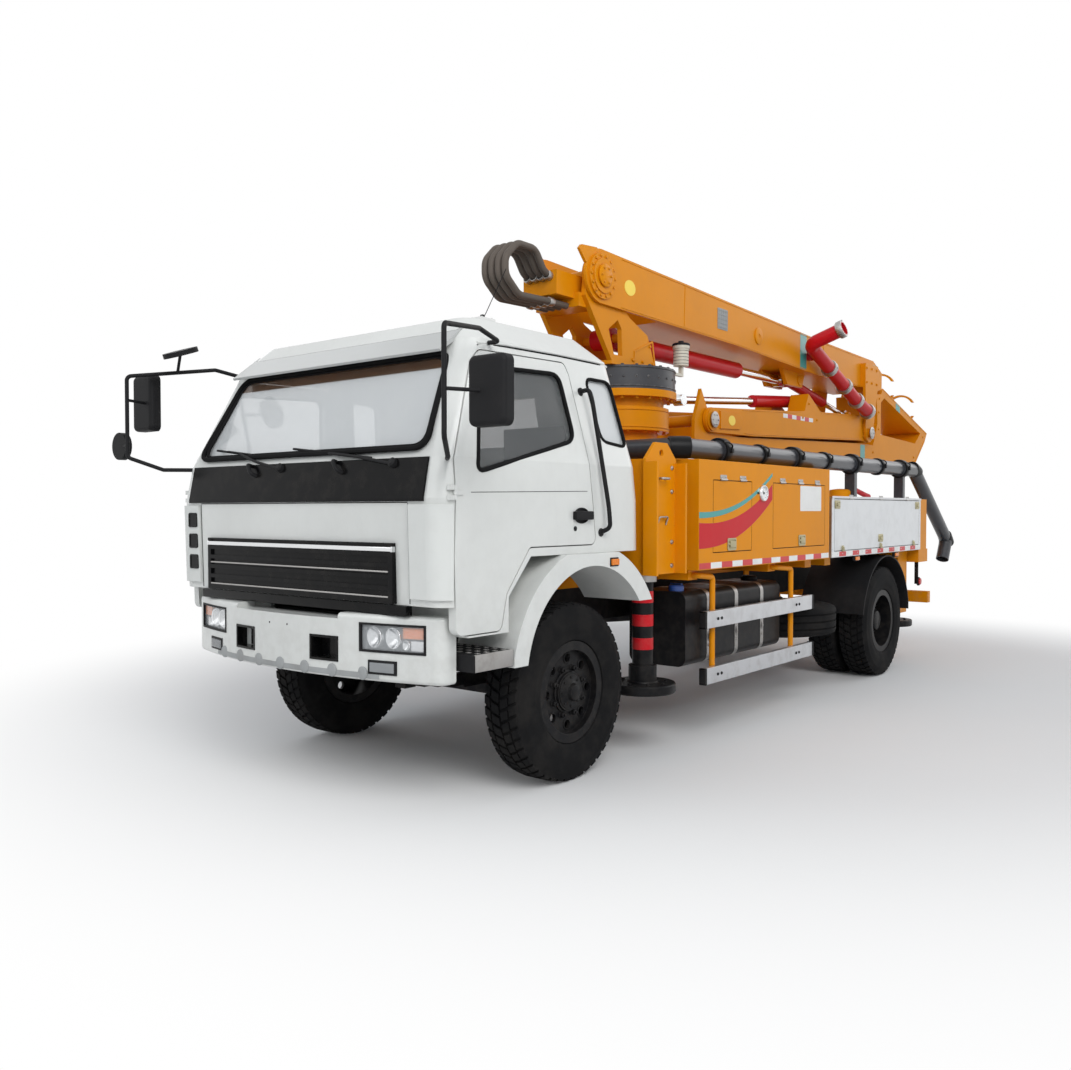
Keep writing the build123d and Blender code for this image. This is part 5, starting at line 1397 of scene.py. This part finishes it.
class PUMPTRUCK_OT_boom(Operator):
    """Ring, bolts, ovals, bands, plates, weld ridges, pin caps and pipe clamps on the boom"""

    bl_idname = "pump_truck.boom"
    bl_label = "Boom"

    def execute(self, context):
        ring, low_ovals, bands, plates, welds = (Mould() for _ in range(5))
        for s in (-1, 1):
            axis, skin = (0, s, 0), s * (BOOM_HALF + 0.5)
            for a, b in circle(14, 145):
                ring.bolt((ROOT_X + a, s * 275.5, ROOT_Z + b), axis, 11, 10)
            low_ovals.plate(oval(-1760, 3215, 74, 58), *layer(s, BOOM_HALF, 1.5))
            for x, low, top in ((-4900, edge_z(BOOM_LOW, -4900) + 6, edge_z(BOOM_TOP, -4900) - 6),
                                (-6900, 2965, 3225)):
                bands.plate(rectangle(x - 75, x + 75, low, top), *layer(s, BOOM_HALF, 1.2))
            plates.plate(soft_rectangle(-3300, -3120, 3110, 3290, 10), *layer(s, BOOM_HALF, 4))
            for k in range(5):
                x, z = -3290 + 36 * k, 3124 + 36 * k
                plates.plate(rectangle(x, x + 6, 3118, 3282), s * (BOOM_HALF + 3), s * (BOOM_HALF + 7))
                plates.plate(rectangle(-3292, -3128, z, z + 6), s * (BOOM_HALF + 3), s * (BOOM_HALF + 7))
            ring.lathe((-3900, s * (BOOM_HALF - 1), 3150), axis,
                       [(0, 0), (78, 0), (78, 9), (66, 13), (20, 13), (20, 7), (0, 7)], 40)
            for line, shift in ((BOOM_TOP, -16), (BOOM_LOW, 14)):
                welds.sweep([(x, skin, edge_z(line, x) + shift) for x in range(-1650, -6451, -240)], 4, 6)
            for x in (-2560, -5390):
                welds.sweep([(x, skin, edge_z(BOOM_LOW, x) + 20),
                             (x - 12, skin, edge_z(BOOM_TOP, x) - 20)], 4, 6)
            ring.lathe((-5100, s * 129.5, 2880), axis, disc(48, 10), 30)
            ring.lathe((-4900, s * 90.5, 2868), axis, disc(52, 12), 30)
            for a, b in circle(4, 32, 0.5):
                ring.bolt((-5100 + a, s * 139, 2880 + b), axis, 6, 5)
            for x in (-6810, -6655, -6500):
                for z in (2990, 3150):
                    ring.bolt((x, s * 315.5, z), axis, 14, 12)
        for mould, name, finish in ((ring, "fittings", "orange_paint"), (low_ovals, "ovals", "oval_paint"),
                                    (bands, "bands", "band_paint"), (plates, "plates", "grey_plastic"),
                                    (welds, "welds", "orange_paint")):
            mould.piece(f"boom_1_{name}", finish, "boom_1")
        self.arm_marks()
        self.arm_welds()
        self.pipes()
        return {"FINISHED"}

    def arm_marks(self):
        caps, ovals, strips, whites, bands = (Mould() for _ in range(5))
        for s in (-1, 1):
            for x, z, y in ((-6590, 2420, 340), (-2990, 2315, 306)):
                caps.lathe((x, s * (y - 1), z), (0, s, 0),
                           [(0, 0), (64, 0), (68, 5), (68, 12), (60, 16), (0, 16)], 40)
                for a, b in circle(6, 46):
                    caps.bolt((x + a, s * (y + 15), z + b), (0, s, 0), 8, 7)
            ovals.plate(oval(-3330, 2330, 62, 44), s * 293.5, s * 295.5)
            for k in range(7):
                x = -5100 + 100 * k
                strip = strips if k % 2 else whites
                strip.plate(rectangle(x, x + 100, 2438, 2478), *layer(s, ARM_2_HALF, 1.2))
            bands.plate(((-7810, 2743), (-7660, 2781), (-7660, 2868), (-7810, 2829)),
                        *layer(s, ARM_3_HALF, 1.2))
            bands.plate(rectangle(-6640, -6500, 2135, 2290), *layer(s, ARM_3_HALF, 1.2))
        caps.piece("arm_2_pin_caps", "steel", "arm_2", "rod_chrome")
        ovals.piece("arm_2_ovals", "oval_paint", "arm_2")
        strips.piece("arm_2_red_strip", "red_tape", "arm_2", "pipe_red")
        whites.piece("arm_2_white_strip", "white_tape", "arm_2")
        bands.piece("arm_3_bands", "band_paint", "arm_3")

    def arm_welds(self):
        """Weld ridges along the arms' plates, and bolts."""
        for arm, half, lines, bolts in ARM_WELDS:
            welds = Mould()
            for s in (-1, 1):
                for bend, *line in lines:
                    welds.sweep([(x, s * (half + 0.5), z) for x, z in line], 4, 6, bend)
                for x, z in bolts:
                    welds.bolt((x, s * (half - 0.5), z), (0, s, 0), 12, 10)
            welds.piece(f"{arm}_welds", "orange_paint", arm)

    def pipes(self):
        """Clamps with levers where the pipes' lengths meet, and sleeves at the elbows."""
        clamps, sleeves, bands = Mould(), Mould(), Mould()
        y, z = PIPE_Y, PIPE_Z
        for k, x in enumerate((-1700, -2300, -2900, -3500, -4140, -4780, -5420)):
            wide, reach = (28, 67) if k % 2 else (40, 79)
            clamps.lathe((x, y, z), ALONG,
                         [(reach - 1, -wide), (reach + 10, -wide), (reach + 14, -wide + 8),
                          (reach + 14, wide - 8), (reach + 10, wide), (reach - 1, wide)], 36)
            for cy in (y + reach + 18, y - reach - 18):
                clamps.block((x - 16, x + 16), (cy - 12, cy + 12), (z - 16, z + 16), 4)
                clamps.bolt((x, cy, z + 15), UP, 8, 9)
            clamps.sweep([(x + dx, y + reach + out, z + up) for dx, out, up in (
                (0, 22, 10), (12, 30, 40), (70, 26, 56), (120, 20, 52))], 6, 8, 20)
        clamps.piece("pipe_clamps", "black_paint")
        for spot, axis in (((-1150, y, z), (0.7, -0.7, 0)), ((-5850, y, z), (1, 0, 0.3)),
                           ((-6975, y, 1222), (0.75, 0, 0.65))):
            sleeves.lathe(spot, axis, [(60, -70), (72, -70), (74, -50), (74, 50), (72, 70), (60, 70)], 36)
        for spot, axis, lift, lift_axis in (
                ((-4800, 690, 3291), (0, 0.945, 0.324), (0, 0, 84), UP),
                ((-5300, 370, 3001), (0.94, 0, 0.337), (0, 84, 0), ACROSS),
                ((-5700, 370, 2857), (0.94, 0, 0.337), (0, 84, 0), ACROSS),
                ((-6040, 370, 2735), (0.95, 0, 0.3), (0, 84, 0), ACROSS),
                ((-6380, 370, 2645), (0.97, 0, 0.25), (0, 84, 0), ACROSS)):
            bands.lathe(spot, axis,
                        [(66, -30), (80, -30), (86, -20), (86, 20), (80, 30), (66, 30)], 32)
            bands.bolt([a + b for a, b in zip(spot, lift)], lift_axis, 9, 9)
        bands.piece("boom_pipe_clamps", "steel", "boom_1", "pipe_steel")
        sleeves.piece("pipe_elbows", "black_paint")


CLASSES = (PumpTruckPaint, PumpTruckStudio, PumpTruckWheels, PUMPTRUCK_OT_finishes, PUMPTRUCK_OT_stage,
           PUMPTRUCK_OT_tyres, PUMPTRUCK_OT_hubs, PUMPTRUCK_OT_cab_seals, PUMPTRUCK_OT_cab_fittings,
           PUMPTRUCK_OT_cab_front, PUMPTRUCK_OT_lamps, PUMPTRUCK_OT_side_boxes, PUMPTRUCK_OT_toolboxes,
           PUMPTRUCK_OT_posts, PUMPTRUCK_OT_tanks, PUMPTRUCK_OT_rear, PUMPTRUCK_OT_column, PUMPTRUCK_OT_boom)
STEPS = ("stage", "finishes", "tyres", "hubs", "cab_seals", "cab_fittings", "cab_front", "lamps",
         "side_boxes", "toolboxes", "posts", "tanks", "rear", "column", "boom")


class PUMPTRUCK_PT_sidebar(Panel):
    """The sidebar's list of steps"""

    bl_label = "Pump Truck"
    bl_idname = "PUMPTRUCK_PT_sidebar"
    bl_space_type = "VIEW_3D"
    bl_region_type = "UI"
    bl_category = "Pump Truck"

    def draw(self, context):
        scene = context.scene
        for group in (scene.pump_truck_paint, scene.pump_truck_studio, scene.pump_truck_wheels):
            for key in group.__annotations__:
                self.layout.prop(group, key)
        for step in STEPS:
            self.layout.operator(f"pump_truck.{step}")


def register():
    for each in (*CLASSES, PUMPTRUCK_PT_sidebar):
        bpy.utils.register_class(each)
    bpy.types.Scene.pump_truck_paint = PointerProperty(type=PumpTruckPaint)
    bpy.types.Scene.pump_truck_studio = PointerProperty(type=PumpTruckStudio)
    bpy.types.Scene.pump_truck_wheels = PointerProperty(type=PumpTruckWheels)


def unregister():
    del bpy.types.Scene.pump_truck_wheels
    del bpy.types.Scene.pump_truck_studio
    del bpy.types.Scene.pump_truck_paint
    for each in reversed((*CLASSES, PUMPTRUCK_PT_sidebar)):
        bpy.utils.unregister_class(each)


def main():
    register()
    for step in STEPS:
        getattr(bpy.ops.pump_truck, step)()


if __name__ == "__main__":
    main()
